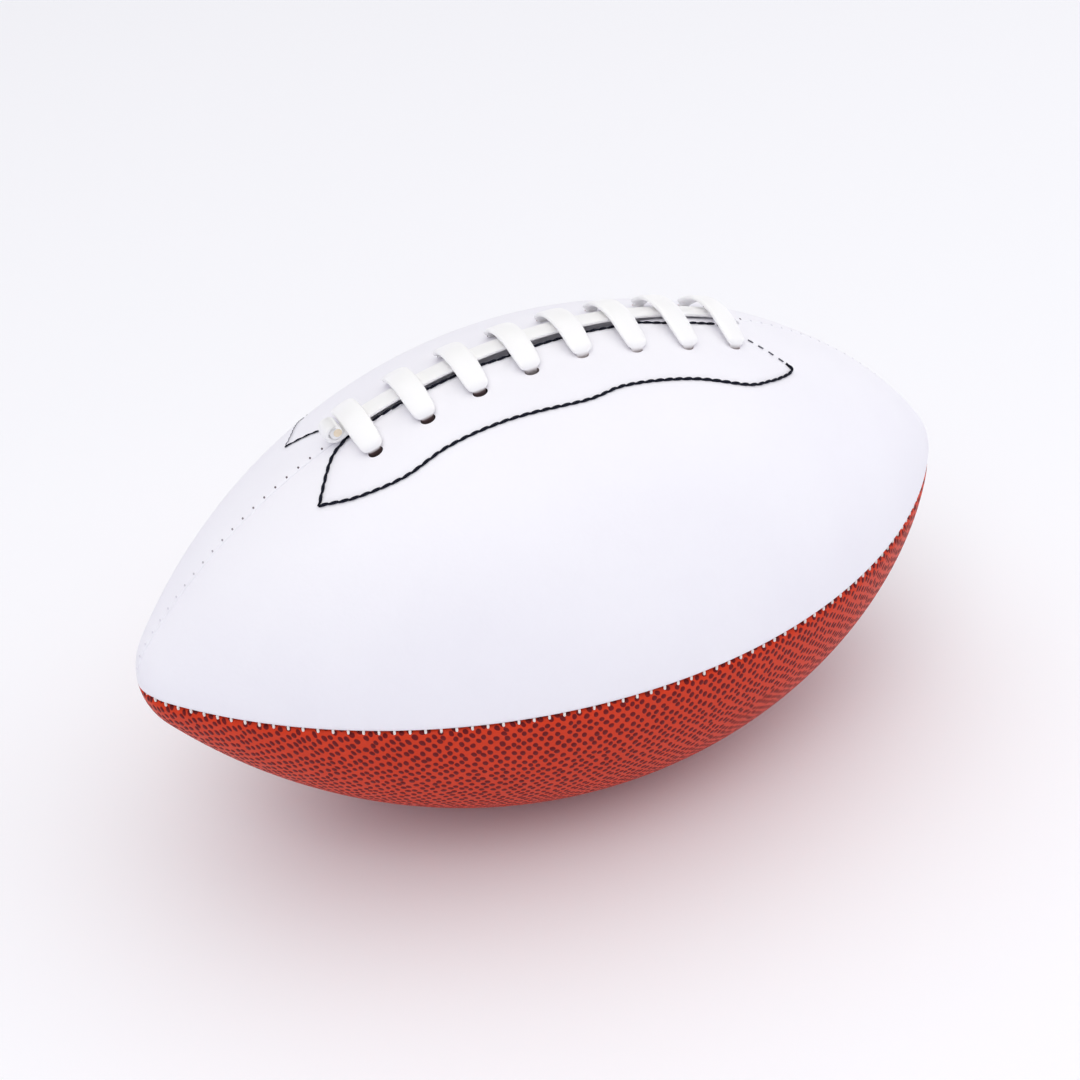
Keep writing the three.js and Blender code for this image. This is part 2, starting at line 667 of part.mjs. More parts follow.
function seamThread(seam, from = -joinLean, to = joinLean) {
  const inside = leans.filter((lean) => lean > from && lean < to);
  const stations = [from, ...inside, to];
  const points = stations.map((lean) => {
    const { along, radius } = outline(lean, threadDepth);
    return new THREE.Vector3(along, 0, 0).addScaledVector(seam, radius);
  });
  const outs = stations.map((lean) => {
    return new THREE.Vector3(Math.sin(lean), 0, 0).addScaledVector(seam, Math.cos(lean));
  });
  return thread(points, outs, SEAM_THREAD);
}

// A patch's stitching lies on the cover itself
function patchStitching(side, panel) {
  const ray = new THREE.Raycaster();
  const outs = [];
  const points = patchOutline(side).map(({ x, y }) => {
    const { out } = frameAt(x, side * y);
    ray.set(onBall(x, side * y, ballRadius), out.clone().negate());
    outs.push(out);
    return ray.intersectObject(panel)[0].point.addScaledVector(out, CLEARANCE + PATCH_THREAD / 2);
  });
  return thread(points, outs, PATCH_THREAD, true);
}

// Assembly
const FINISHES = {
  white: { color: 0xf0eef5, roughness: 0.5 },
  pebbled: { color: 0xbf4228, roughness: 0.6 },
  lining: { color: 0xd8d0c0, roughness: 0.9 },
  tongue: { color: 0x8d8894, roughness: 0.85 },
  rubber: { color: 0x1c1c1e, roughness: 0.7 },
  lace: { color: 0xf8f6f8, roughness: 0.45 },
  seamThread: { color: 0xf1e9d4, roughness: 0.8 },
  patchThread: { color: 0x1c2035, roughness: 0.8 },
};

const football = new THREE.Group();
football.position.z = -restPlane;

function add(name, finish, geometry) {
  const mesh = new THREE.Mesh(geometry, new THREE.MeshStandardMaterial({ metalness: 0, ...FINISHES[finish] }));
  mesh.name = name;
  football.add(mesh);
  return mesh;
}

for (const [side, name, across] of [[-1, "front", FRONT], [1, "back", BACK]]) {
  const holes = laceHoles(side);
  const white = add(`white_panel_${name}`, "white", cut(coverPanel(UP, across), ...slitCutters(), ...holes));
  const upperLining = liningPanel(UP, across);
  add(`white_lining_${name}`, "lining", cut(upperLining, patchPrism(side, PATCH_MARGIN + CLEARANCE)));
  add(`lace_patch_${name}`, "lining", lacePatch(side, upperLining));
  add(`patch_stitching_${name}`, "patchThread", patchStitching(side, white));
  const valveCut = side > 0 ? [valveHole()] : [];
  add(`pebbled_panel_${name}`, "pebbled", cut(coverPanel(DOWN, across), ...valveCut));
  add(`pebbled_lining_${name}`, "lining", cut(liningPanel(DOWN, across), ...valveCut));
  add(`side_seam_thread_${name}`, "seamThread", seamThread(across));
}
add("bottom_seam_thread", "seamThread", seamThread(DOWN));
add("top_seam_thread_left", "seamThread", seamThread(UP, -joinLean, leanAt(slitStart - CLEARANCE)));
add("top_seam_thread_right", "seamThread", seamThread(UP, leanAt(slitEnd + CLEARANCE), joinLean));
add("lace_tongue", "tongue", tongue());
add("bladder", "rubber", bladder());
add("valve_seat", "rubber", valveSeat());
add("valve_core", "rubber", valveCore());

const rounds = laceRounds();
add("lace", "lace", loft(rounds));
console.log(`lace: least gap to itself ${leastSelfGap(rounds, 3 * LACE_WIDTH).toFixed(2)} mm`);

export default football;
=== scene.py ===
"""American football lying on its belly on a pale floor: white and pebbled leather, lace and stitching."""

import math

import bpy
import numpy as np
from mathutils import Matrix, Vector


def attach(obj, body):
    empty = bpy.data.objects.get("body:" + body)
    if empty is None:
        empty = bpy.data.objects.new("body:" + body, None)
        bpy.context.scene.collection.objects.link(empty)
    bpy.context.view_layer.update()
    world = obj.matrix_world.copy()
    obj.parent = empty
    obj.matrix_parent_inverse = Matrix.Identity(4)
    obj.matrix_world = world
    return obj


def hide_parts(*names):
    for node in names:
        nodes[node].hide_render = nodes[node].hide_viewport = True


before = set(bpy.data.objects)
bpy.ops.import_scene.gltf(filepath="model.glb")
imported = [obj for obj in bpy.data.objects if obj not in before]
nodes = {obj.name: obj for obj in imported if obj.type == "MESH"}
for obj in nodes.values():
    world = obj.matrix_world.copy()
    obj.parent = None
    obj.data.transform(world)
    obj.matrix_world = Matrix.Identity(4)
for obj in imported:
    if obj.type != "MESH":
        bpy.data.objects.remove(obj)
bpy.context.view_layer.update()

# Sizes of the ball in millimetres, as in the part
MM = 0.001
HALF_LENGTH = 127.0
BALL_RADIUS = 70.0
NOSE_RADIUS = 19.0
REST_FLAT = 0.5
COVER = 2.2
SEAM_ROLL = 2.0
SEAM_TURN_IN = 4.3
SEAM_INNER_BEND = 0.8
SEAM_GAP = 0.3

# Openings of the cover, drawn closer than in the part
SLIT_ROLL = 0.7
TOP_SEAM_GAP = 0.12
NOSE_OPENING = math.radians(0.8)
EDGE_FADE_RADIUS = 4 * SEAM_ROLL
GAP_FADE_RADIUS = 4
EDGE_REACH = 0.69

# Half sizes of the valve's hole
VALVE_HOLE = (4.3, 4.3, 8.0)

# Steps of the panels' meshes
NOSE_ROWS = 24
BELLY_ROWS = 281
ROLL_COLUMNS = 8
FACE_COLUMNS = 112
INNER_COLUMNS = 14

# Depth and spread of the dimples at stitches and holes
STITCH_DIMPLE = 0.35
STITCH_DIMPLE_SPREAD = 1.1
HOLE_DIMPLE = 0.5
HOLE_DIMPLE_SPREAD = 12.0
HOLE_DIMPLE_STRETCH = 1.3

# Tongue below the slit
TONGUE_LEAD = 7.0
TONGUE_PAST_HOLE = 1.7
TONGUE_HALF = 14.0
TONGUE_TOP = 7.3
TONGUE_BOTTOM = 8.3
TONGUE_RIPPLE = 0.12
TONGUE_RIPPLE_TURN = 0.5
TONGUE_CROWN = 0.2

# Spacing of the stitches
STITCH = 2.75
SEAM_STITCH = 3.97
TIP_STITCH = 3.1

# Separate stitches, as length and diameter
SEAM_TICK = (1.3, 0.75)
TOP_DOT = (0.8, 0.6)
TIP_STRAND = (1.7, 0.38)
STRAND_SIDES = 8
TICK_DEPTH = {"top": 0.1, "side": 0.75, "bottom": 1.2}
TOP_DOT_OFFSET = 0.9
TOP_DOTS_BEFORE_SLIT = 6.1
TOP_DOTS_PAST_HOLE = 4.8
SIDE_SEAM_LEAN = 1.35
END_LEAN = 1.3
TIP_DEPTH = 0.02

# Sewn lines: their diameters, and how each strand swells, sways and rises
PATCH_LINE_FRONT = 0.9
PATCH_LINE_BACK = 0.5
SLIT_LINE = 0.75
FOLD_LINE = 0.26
LINE_STEP = 0.3
LINE_WAIST = 0.62
LINE_SWAY = 0.22
LINE_RETURN = 0.85
LINE_RISE = 0.12
LINE_DEPTH = 0.05

# Lacing
CROSSES = 8
LACE_PITCH = 15.0
LACING_CENTRE = -5.1
LACE_WIDTH = 7.0
LACE_HOLE_WIDTH = 3.5
LACE_THICKNESS = 1.6
LACE_BEND = 2.3
LACE_ROW = 11.6
LACE_FLARE = 4.1
LACE_RISE = 1.2
LACE_SHOULDER = 3.6
LACE_SHOULDER_REACH = 0.3
LACE_INNER_TURN = 5.0
LACE_TAIL = 9.0
LACE_RUN_DEPTH = 6.0
LACE_END_WIDTH = 6.0
LACE_END_ROLL = 2.5
LACE_END_CORE = 1.25
LACE_END_CURL = math.radians(215)
BAND_HEIGHT = 1.6
BAND_SHIFT = 0.9
BAND_DROP = 0.35
BAND_DROP_SPAN = (17.0, 30.0)
ROLL_SHIFT = -0.2
ROLL_GAP = 0.1
CORE_RADIUS = 1.75
CORE_LEAD = 0.35
CORE_DROP = 0.1
CORE_OVERHANG = 0.1
CORE_BEVEL = 0.1
CORE_RIM = 0.24
CORE_SHIFT = (0.2, -0.08, 0.0)
CROSS_HEIGHT = 4.2
CROSS_STEP = 0.55
SQUEEZE_START = 0.2
SQUEEZE_RISE = 3.8
STRIP_SIDES = 18
STRIP_ROUNDNESS = 0.75
# Raise of the heights on the back half of the lace, which keeps painted shade off it
UNSHADED_BACK_RAISE = 8.0
SLIT_HALF = 1.4
SLIT_LEAD = 4.0
SLIT_CHANGE = 0.7
SLIT_PULLED = (-34.0, -18.0, 8.0, 20.0)
SLIT_PINCHED = (18.0, 30.0)
HOLE_ALONG = 2.05
HOLE_ALONG_BACK = 1.75
HOLE_ACROSS = 1.6
HOLE_SHIFT = 0.55
HOLE_DEPTH = 6.0
HOLES_CLOSE = (-20.0, 12.0)
HOLE_SHIFT_CLOSED = 0.4
HOLE_ALONG_CLOSED = 0.3
HOLE_ACROSS_CLOSED = 0.35
DIVE_HALF = 3.1

FIRST_CROSS = LACING_CENTRE - LACE_PITCH * (CROSSES - 1) / 2
LAST_CROSS = LACING_CENTRE + LACE_PITCH * (CROSSES - 1) / 2
DIVE_START = LAST_CROSS + LACE_INNER_TURN
DIVE_HOLE = DIVE_START + LACE_BEND
SLIT_START = FIRST_CROSS - SLIT_LEAD
SLIT_SPAN = (SLIT_START - 2.0, SLIT_START + 3.0, DIVE_HOLE, DIVE_HOLE + 3.0)
DIVE_SPAN = (DIVE_HOLE - 5.5, DIVE_HOLE - 2.0, DIVE_HOLE + 1.8, DIVE_HOLE + 3.2)
CROSS_PLACES = np.linspace(FIRST_CROSS, LAST_CROSS, CROSSES)
BAND_START = FIRST_CROSS - LACE_WIDTH / 2 - ROLL_GAP - LACE_END_CORE - LACE_THICKNESS / 2
FLARE_START = FIRST_CROSS + 0.55 * (LAST_CROSS - FIRST_CROSS)
FLARE_END = FIRST_CROSS + 0.82 * (LAST_CROSS - FIRST_CROSS)

# The outline is a belly arc that runs tangent into a nose arc; lean is the tilt of its normal
NOSE_CENTRE = HALF_LENGTH - NOSE_RADIUS
BELLY_RADIUS = (NOSE_CENTRE**2 + BALL_RADIUS**2 - NOSE_RADIUS**2) / (2 * (BALL_RADIUS - NOSE_RADIUS))
JOIN_LEAN = math.atan2(NOSE_CENTRE, BELLY_RADIUS - BALL_RADIUS)
LIFT = BALL_RADIUS - REST_FLAT

UP = np.array([0.0, 0.0, 1.0])
DOWN = -UP
BACK = np.array([0.0, 1.0, 0.0])
FRONT = -BACK


def outline(lean, depth=0.0):
    """Distance along the ball and radius about its axis, at a lean and a depth below the surface."""
    steep = np.abs(lean)
    on_nose = steep > JOIN_LEAN
    arc = np.where(on_nose, NOSE_RADIUS, BELLY_RADIUS) - depth
    along = np.where(on_nose, NOSE_CENTRE, 0.0) + arc * np.sin(steep)
    radius = arc * np.cos(steep) - np.where(on_nose, 0.0, BELLY_RADIUS - BALL_RADIUS)
    return np.sign(lean) * along, radius


def arc_length(lean):
    """Distance along the surface from the middle of the ball."""
    steep = np.abs(lean)
    belly = BELLY_RADIUS * np.minimum(steep, JOIN_LEAN)
    nose = NOSE_RADIUS * np.maximum(steep - JOIN_LEAN, 0.0)
    return np.sign(lean) * (belly + nose)


def lean_at(x):
    return math.asin(x / BELLY_RADIUS)


def frame_at(x, across, seam=UP, side=BACK):
    """Directions along, across and out at a place near a seam; across is measured on the surface."""
    lean = lean_at(x)
    angle = across / float(outline(lean)[1])
    spoke = math.cos(angle) * seam + math.sin(angle) * side
    along = np.array([math.cos(lean), 0.0, 0.0]) - math.sin(lean) * spoke
    sideways = math.cos(angle) * side - math.sin(angle) * seam
    out = np.array([math.sin(lean), 0.0, 0.0]) + math.cos(lean) * spoke
    return along, sideways, out


def on_ball(x, across, height, seam=UP, side=BACK):
    lean = lean_at(x)
    angle = across / float(outline(lean)[1])
    along, radius = outline(lean, -height)
    spoke = math.cos(angle) * seam + math.sin(angle) * side
    return np.array([float(along), 0.0, 0.0]) + float(radius) * spoke


def smoothstep(value, low, high):
    share = np.clip((value - low) / (high - low), 0.0, 1.0)
    return share * share * (3 - 2 * share)


def rise_and_fall(value, low, high, high_end, low_end):
    return smoothstep(value, low, high) * (1 - smoothstep(value, high_end, low_end))


def row_offset(x, sign):
    """Distance of a row of lace holes from the seam; the front row flares at its right end."""
    flare = LACE_FLARE * smoothstep(x, FLARE_START, FLARE_END) if sign < 0 else 0.0
    return sign * (LACE_ROW + flare)


# Making pieces

def deselect():
    if bpy.context.mode != "OBJECT":
        bpy.ops.object.mode_set(mode="OBJECT")
    bpy.ops.object.select_all(action="DESELECT")


def to_metres(points):
    return (np.asarray(points, float) + np.array([0.0, 0.0, LIFT])) * MM


def closed_skin(name, rounds, flat_map=None):
    """A grid whose points are moved onto closed rounds, then closed along its side and at both ends."""
    rows, columns = rounds.shape[0] - 1, rounds.shape[1]
    deselect()
    bpy.ops.mesh.primitive_grid_add(x_subdivisions=columns, y_subdivisions=rows, size=2)
    piece = bpy.context.object
    piece.name = name
    mesh = piece.data
    mesh.name = name
    spots = np.zeros(len(mesh.vertices) * 3)
    mesh.vertices.foreach_get("co", spots)
    spots = spots.reshape(-1, 3)
    row = np.rint((spots[:, 1] + 1) / 2 * rows).astype(int)
    column = np.rint((spots[:, 0] + 1) / 2 * columns).astype(int)
    wrapped = column % columns
    mesh.vertices.foreach_set("co", to_metres(rounds[row, wrapped]).ravel())
    if flat_map is not None:
        corners = np.zeros(len(mesh.loops), int)
        mesh.loops.foreach_get("vertex_index", corners)
        mesh.uv_layers[0].name = "leather"
        mesh.uv_layers[0].data.foreach_set("uv", flat_map[row, wrapped][corners].ravel())
    mesh.update()
    bpy.ops.object.mode_set(mode="EDIT")
    bpy.ops.mesh.select_all(action="SELECT")
    bpy.ops.mesh.remove_doubles(threshold=1e-6)
    bpy.ops.mesh.fill_holes(sides=0)
    bpy.ops.mesh.select_all(action="SELECT")
    bpy.ops.mesh.normals_make_consistent(inside=False)
    bpy.ops.object.mode_set(mode="OBJECT")
    return piece


def finish_piece(piece, slot, material, *replaced):
    deselect()
    bpy.context.view_layer.objects.active = piece
    piece.select_set(True)
    bpy.ops.object.shade_smooth_by_angle(angle=math.radians(40))
    slots = piece.data.materials
    for index, finish in enumerate(material if isinstance(material, list) else [material]):
        if index < len(slots):
            slots[index] = finish
        else:
            slots.append(finish)
    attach(piece, "root")
    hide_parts(*replaced)


def laid_out(name, pattern, places):
    """Copies of a pattern, each with its own mesh, joined into one piece."""
    copies = []
    for place in places:
        copy = pattern.copy()
        copy.data = pattern.data.copy()
        copy.data.transform(place)
        bpy.context.collection.objects.link(copy)
        copies.append(copy)
    bpy.data.objects.remove(pattern)
    deselect()
    for copy in copies:
        copy.select_set(True)
    bpy.context.view_layer.objects.active = copies[0]
    bpy.ops.object.join()
    copies[0].name = name
    copies[0].data.name = name
    return copies[0]


def placed(point, along, across, out, scale=(1.0, 1.0, 1.0)):
    """Matrix that puts a pattern made in millimetres at a point of the ball."""
    turned = Matrix((along * scale[0], across * scale[1], out * scale[2])).transposed() * MM
    return Matrix.Translation(Vector(to_metres(point))) @ turned.to_4x4()


# Materials

def linear(red, green, blue):
    """Scene colour of an sRGB colour given in 0 to 255."""
    def channel(value):
        value /= 255
        return value / 12.92 if value <= 0.04045 else ((value + 0.055) / 1.055) ** 2.4
    return (channel(red), channel(green), channel(blue), 1.0)


class Finish:
    """A procedural material with short ways to add and join its nodes."""

    def __init__(self, name, roughness):
        self.material = bpy.data.materials.new(name)
        self.material.use_nodes = True
        self.tree = self.material.node_tree
        self.shader = self.tree.nodes["Principled BSDF"]
        self.shader.inputs["Roughness"].default_value = roughness

    def node(self, kind, inputs=None, **settings):
        node = self.tree.nodes.new(kind)
        for key, value in settings.items():
            setattr(node, key, value)
        for key, value in (inputs or {}).items():
            self.set(node.inputs[key], value)
        return node

    def set(self, socket, value):
        if isinstance(value, bpy.types.NodeSocket):
            self.tree.links.new(value, socket)
        else:
            socket.default_value = value

    def coordinates(self, uv=None):
        if uv:
            return self.node("ShaderNodeUVMap", uv_map=uv).outputs["UV"]
        return self.node("ShaderNodeTexCoord").outputs["Object"]

    def noise(self, vector, scale, detail=3.0, roughness=0.5):
        inputs = {"Vector": vector, "Scale": scale, "Detail": detail, "Roughness": roughness}
        return self.node("ShaderNodeTexNoise", inputs).outputs["Fac"]

    def remap(self, value, low, high, to_low=0.0, to_high=1.0):
        inputs = {"Value": value, "From Min": low, "From Max": high, "To Min": to_low, "To Max": to_high}
        return self.node("ShaderNodeMapRange", inputs, interpolation_type="SMOOTHSTEP").outputs["Result"]

    def mix(self, factor, first, second):
        node = self.node("ShaderNodeMix", data_type="RGBA")
        self.set(node.inputs[0], factor)
        self.set(node.inputs[6], first)
        self.set(node.inputs[7], second)
        return node.outputs[2]

    def math(self, operation, first, second):
        node = self.node("ShaderNodeMath", operation=operation)
        self.set(node.inputs[0], first)
        self.set(node.inputs[1], second)
        return node.outputs[0]

    def vector(self, operation, first, second):
        return self.node("ShaderNodeVectorMath", {0: first, 1: second}, operation=operation).outputs[0]

    def bump(self, height, distance, strength=1.0, under=None):
        inputs = {"Height": height, "Distance": distance, "Strength": strength}
        if under is not None:
            inputs["Normal"] = under
        return self.node("ShaderNodeBump", inputs).outputs["Normal"]

    def finish(self, color=None, normal=None, roughness=None):
        for name, value in [("Base Color", color), ("Normal", normal), ("Roughness", roughness)]:
            if value is not None:
                self.set(self.shader.inputs[name], value)
        return self.material


def white_leather():
    finish = Finish("white_leather", 0.55)
    place = finish.coordinates()
    cloud = finish.noise(place, 22.0, 4.0)
    color = finish.mix(cloud, linear(238, 236, 243), linear(246, 245, 249))
    pores = finish.node("ShaderNodeTexVoronoi", {"Vector": place, "Scale": 1100.0}).outputs["Distance"]
    grain = finish.bump(pores, 0.00012, 0.25)
    creases = finish.noise(place, 260.0, 5.0, 0.6)
    normal = finish.bump(creases, 0.0002, 0.2, grain)
    return finish.finish(color, normal, finish.remap(cloud, 0.3, 0.7, 0.5, 0.6))


# Pebbles, in millimetres on the leather laid flat
PEBBLE_SCALE = 0.45
PEBBLE_RANDOMNESS = 0.36
PEBBLE_STRETCH = (1.08, 0.92, 1.0)
PEBBLE_TURN = (0.0, 0.0, math.radians(45))
PEBBLE_SWAY = (2.2, 2.2, 2.2)
PEBBLE_EDGE = (0.35, 0.47)
PEBBLE_DOME = (0.08, 0.48)


def pebbled_leather():
    finish = Finish("pebbled_leather", 0.5)
    flat = finish.coordinates("leather")
    drift = {"Vector": flat, "Scale": 0.11, "Detail": 2.0}
    sway = finish.node("ShaderNodeTexNoise", drift).outputs["Color"]
    offset = finish.vector("SUBTRACT", sway, (0.5, 0.5, 0.5))
    stretch = finish.vector("MULTIPLY", offset, PEBBLE_SWAY)
    swayed = finish.vector("ADD", flat, stretch)
    lattice = {"Vector": swayed, "Scale": PEBBLE_STRETCH, "Rotation": PEBBLE_TURN}
    drawn = finish.node("ShaderNodeMapping", lattice).outputs["Vector"]
    inputs = {"Vector": drawn, "Scale": PEBBLE_SCALE, "Randomness": PEBBLE_RANDOMNESS}
    cells = finish.node("ShaderNodeTexVoronoi", inputs, voronoi_dimensions="2D").outputs["Distance"]
    wobble = finish.math("MULTIPLY", finish.noise(flat, 0.8, 2.0), 0.12)
    edge = finish.math("ADD", cells, wobble)
    pebble = finish.remap(edge, *PEBBLE_EDGE, 1.0, 0.0)
    tone = finish.noise(flat, 0.05, 3.0)
    ground = finish.mix(tone, linear(201, 55, 27), linear(213, 61, 31))
    dot = finish.mix(tone, linear(102, 22, 24), linear(116, 28, 30))
    color = finish.mix(pebble, ground, dot)
    dome = finish.remap(edge, *PEBBLE_DOME, 1.0, 0.0)
    pores = finish.bump(finish.noise(flat, 3.5, 3.0), 0.0001, 0.35)
    normal = finish.bump(dome, 0.00035, 0.7, pores)
    finish.shader.inputs["Specular IOR Level"].default_value = 0.14
    return finish.finish(color, normal, finish.remap(pebble, 0.0, 1.0, 0.48, 0.6))


def soft_plastic():
    """White plastic, a little translucent, with painted brown shade where it dips into its holes."""
    finish = Finish("lace_plastic", 0.42)
    place = finish.coordinates()
    cloud = finish.noise(place, 90.0, 3.0)
    white = finish.mix(cloud, linear(250, 249, 249), linear(255, 254, 252))
    sides = finish.node("ShaderNodeSeparateXYZ", {"Vector": finish.coordinates("leather")}).outputs
    # Painted shade: brown where the strip goes below the leather, stronger towards the left end of the
    # lacing
    foot = finish.remap(sides["X"], 1.0, -0.3)
    painted_shade_leftward = finish.remap(sides["Y"], -32.0, 4.0, 0.95, 0.35)
    color = finish.mix(finish.math("MULTIPLY", foot, painted_shade_leftward), white, linear(88, 58, 58))
    normal = finish.bump(finish.noise(place, 420.0, 4.0), 0.00015, 0.25)
    finish.shader.inputs["Subsurface Weight"].default_value = 0.5
    finish.shader.inputs["Subsurface Radius"].default_value = (1.0, 1.0, 1.0)
    finish.shader.inputs["Subsurface Scale"].default_value = 0.003
    return finish.finish(color, normal, finish.remap(cloud, 0.3, 0.7, 0.38, 0.48))


def lace_core():
    finish = Finish("lace_core", 0.8)
    place = finish.coordinates()
    color = finish.mix(finish.noise(place, 900.0, 3.0), linear(232, 214, 184), linear(248, 236, 214))
    normal = finish.bump(finish.noise(place, 1500.0, 3.0), 0.0003, 0.5)
    return finish.finish(color, normal)


def thread_finish(name, dark, light, fade=None):
    """Thread, which may fade into the white leather between two places along the ball."""
    finish = Finish(name, 0.8)
    finish.shader.inputs["Specular IOR Level"].default_value = 0.15
    place = finish.coordinates()
    strands = finish.noise(place, 1400.0, 3.0, 0.6)
    color = finish.mix(strands, dark, light)
    if fade:
        sides = finish.node("ShaderNodeSeparateXYZ", {"Vector": place}).outputs
        color = finish.mix(finish.remap(sides["X"], *fade, 0.0, 0.9), color, linear(238, 236, 245))
    return finish.finish(color, finish.bump(strands, 0.0002, 0.5))


def raw_edge_and_painted_shade():
    """Raw leather in the holes, darkened to dark brown as painted shade, paler towards the right end of the
    lacing.
    """
    finish = Finish("cut_edge_and_painted_shade", 0.85)
    place = finish.coordinates()
    sides = finish.node("ShaderNodeSeparateXYZ", {"Vector": place}).outputs
    # Painted shade: the dark brown stands for shade in the holes, and the mix makes it paler to the right
    painted_shade_brown = finish.mix(finish.noise(place, 1400.0), linear(34, 20, 18), linear(62, 40, 34))
    color = finish.mix(finish.remap(sides["X"], -0.025, 0.005), painted_shade_brown, linear(222, 200, 196))
    return finish.finish(color)


def cloth(name, dark, light):
    finish = Finish(name, 0.9)
    weave = {"Vector": finish.coordinates(), "Scale": 150.0, "Distortion": 0.6}
    warp = finish.node("ShaderNodeTexWave", weave)
    weft = finish.node("ShaderNodeTexWave", weave, bands_direction="Y")
    woven = finish.math("MULTIPLY", warp.outputs["Fac"], weft.outputs["Fac"])
    color = finish.mix(woven, dark, light)
    return finish.finish(color, finish.bump(woven, 0.0002, 0.5))


def moulded_rubber():
    finish = Finish("moulded_rubber", 0.6)
    place = finish.coordinates()
    cloud = finish.noise(place, 300.0, 4.0)
    color = finish.mix(cloud, linear(24, 24, 26), linear(38, 37, 40))
    return finish.finish(color, finish.bump(cloud, 0.0002, 0.3), finish.remap(cloud, 0.3, 0.7, 0.52, 0.7))


WHITE = white_leather()
PEBBLED = pebbled_leather()
LACE = soft_plastic()
CORE = lace_core()
SEAM_THREAD = thread_finish("seam_thread", linear(236, 232, 226), linear(252, 250, 246))
# Painted shade: the top seam's dots are dark grey, for the shade in their needle holes
TOP_DOT_PAINTED_SHADE = (linear(84, 72, 76), linear(124, 112, 118))
TOP_DOT_PAINTED_SHADE_LEFT = thread_finish("top_dot_painted_shade_left", *TOP_DOT_PAINTED_SHADE, (-0.08, -0.122))
TOP_DOT_PAINTED_SHADE_RIGHT = thread_finish("top_dot_painted_shade_right", *TOP_DOT_PAINTED_SHADE, (0.0605, 0.062))
PATCH_THREAD = thread_finish("patch_thread", linear(7, 8, 18), linear(22, 25, 42))
FADED_THREAD = thread_finish("faded_thread", linear(70, 70, 80), linear(116, 116, 126))
CUT_EDGE_AND_PAINTED_SHADE = raw_edge_and_painted_shade()
LINING = cloth("lining_cloth", linear(120, 108, 92), linear(176, 164, 146))
TONGUE = cloth("tongue_cloth", linear(214, 204, 210), linear(244, 236, 240))
RUBBER = moulded_rubber()

# Sewn outline of the lace patch, as places along and across

PATCH_EDGE_FRONT = [
    (-0.083, 21.0), (0.03, 24.4), (0.15, 23.6), (0.3, 24.7),
    (0.5, 27.8), (0.62, 26.7), (0.8, 28.3), (0.95, 31.2),
]
PATCH_EDGE_BACK = [(0.0, 44.0), (0.05, 46.0), (0.3, 47.0), (0.5, 46.0), (0.67, 44.0), (0.95, 40.0)]
PATCH_TIP = [(3.2, 29.6), (8.6, 27.5), (12.3, 25.4), (13.9, 23.6), (13.2, 21.7)]
PATCH_CORNER_FRONT = (-75.1, 15.5)
PATCH_CORNER_BACK = (-73.6, 15.9)
PATCH_FOLD_BACK = [(-70.2, 21.4), (-65.5, 32.0), (-61.0, 41.0)]
SLIT_LINE_FRONT = [
    (-61.6, 1.7), (-50.0, 1.8), (-26.0, 2.3), (-17.0, 3.2), (-9.0, 2.9), (0.0, 2.8),
    (8.0, 2.7), (16.0, 2.8), (24.0, 2.4), (31.0, 3.8), (39.0, 4.4), (47.4, 4.8),
]
SLIT_LINE_BACK = [(-61.6, 2.0), (0.0, 2.0), (47.4, 2.0)]
PATCH_HOLLOW_FRONT = (-67.3, 5.1)
PATCH_HOLLOW_BACK = (-65.4, 9.6)


def spline(points, steps):
    """Points on a Catmull-Rom curve through the given points."""
    points = [np.array(point, float) for point in points]
    ends = [2 * points[0] - points[1], *points, 2 * points[-1] - points[-2]]
    found = []
    for before, first, second, after in zip(ends, ends[1:], ends[2:], ends[3:]):
        for share in np.linspace(0, 1, steps, endpoint=False):
            bend = 2 * before - 5 * first + 4 * second - after
            twist = -before + 3 * first - 3 * second + after
            found.append(first + share / 2 * (second - before + share * (bend + share * twist)))
    return found + [points[-1]]


def patch_runs(sign):
    """The outline in runs: wavy edge, tip leg, slit side, corner leg and, at the back, the fold."""
    front = sign < 0
    corner = PATCH_CORNER_FRONT if front else PATCH_CORNER_BACK
    tip = [(LAST_CROSS + lead, across) for lead, across in PATCH_TIP]
    slit = SLIT_LINE_FRONT if front else SLIT_LINE_BACK
    length = LAST_CROSS - FIRST_CROSS
    shape = PATCH_EDGE_FRONT if front else PATCH_EDGE_BACK
    wave = [(FIRST_CROSS + share * length, across) for share, across in shape]
    hollow = PATCH_HOLLOW_FRONT if front else PATCH_HOLLOW_BACK
    return [
        spline([corner, *wave, *tip] if front else [PATCH_FOLD_BACK[-1], *wave, *tip], 12),
        spline([tip[-1], slit[-1]], 8),
        spline(slit[::-1], 12),
        spline([slit[0], hollow, corner], 10),
        *([] if front else [spline([corner, *PATCH_FOLD_BACK], 10)]),
    ]


def evenly(points, step):
    """Points at equal steps along a line of points."""
    points = np.array(points)
    lengths = np.concatenate([[0.0], np.cumsum(np.linalg.norm(np.diff(points, axis=0), axis=1))])
    count = max(1, round(lengths[-1] / step))
    places = np.linspace(0, lengths[-1], count + 1)
    columns = [np.interp(places, lengths, column) for column in points.T]
    return np.stack(columns, axis=1)


# Cover panels

def slit_opening(x, sign):
    """Half the gap at the lacing seam: the slit, and the wider hole at its end for the diving lace."""
    pulled = SLIT_CHANGE * rise_and_fall(x, *SLIT_PULLED) if sign < 0 else 0.0
    half = SLIT_HALF + pulled - SLIT_CHANGE * smoothstep(x, *SLIT_PINCHED)
    slit = TOP_SEAM_GAP / 2 + (half - TOP_SEAM_GAP / 2) * rise_and_fall(x, *SLIT_SPAN)
    return np.maximum(slit, DIVE_HALF * rise_and_fall(x, *DIVE_SPAN))


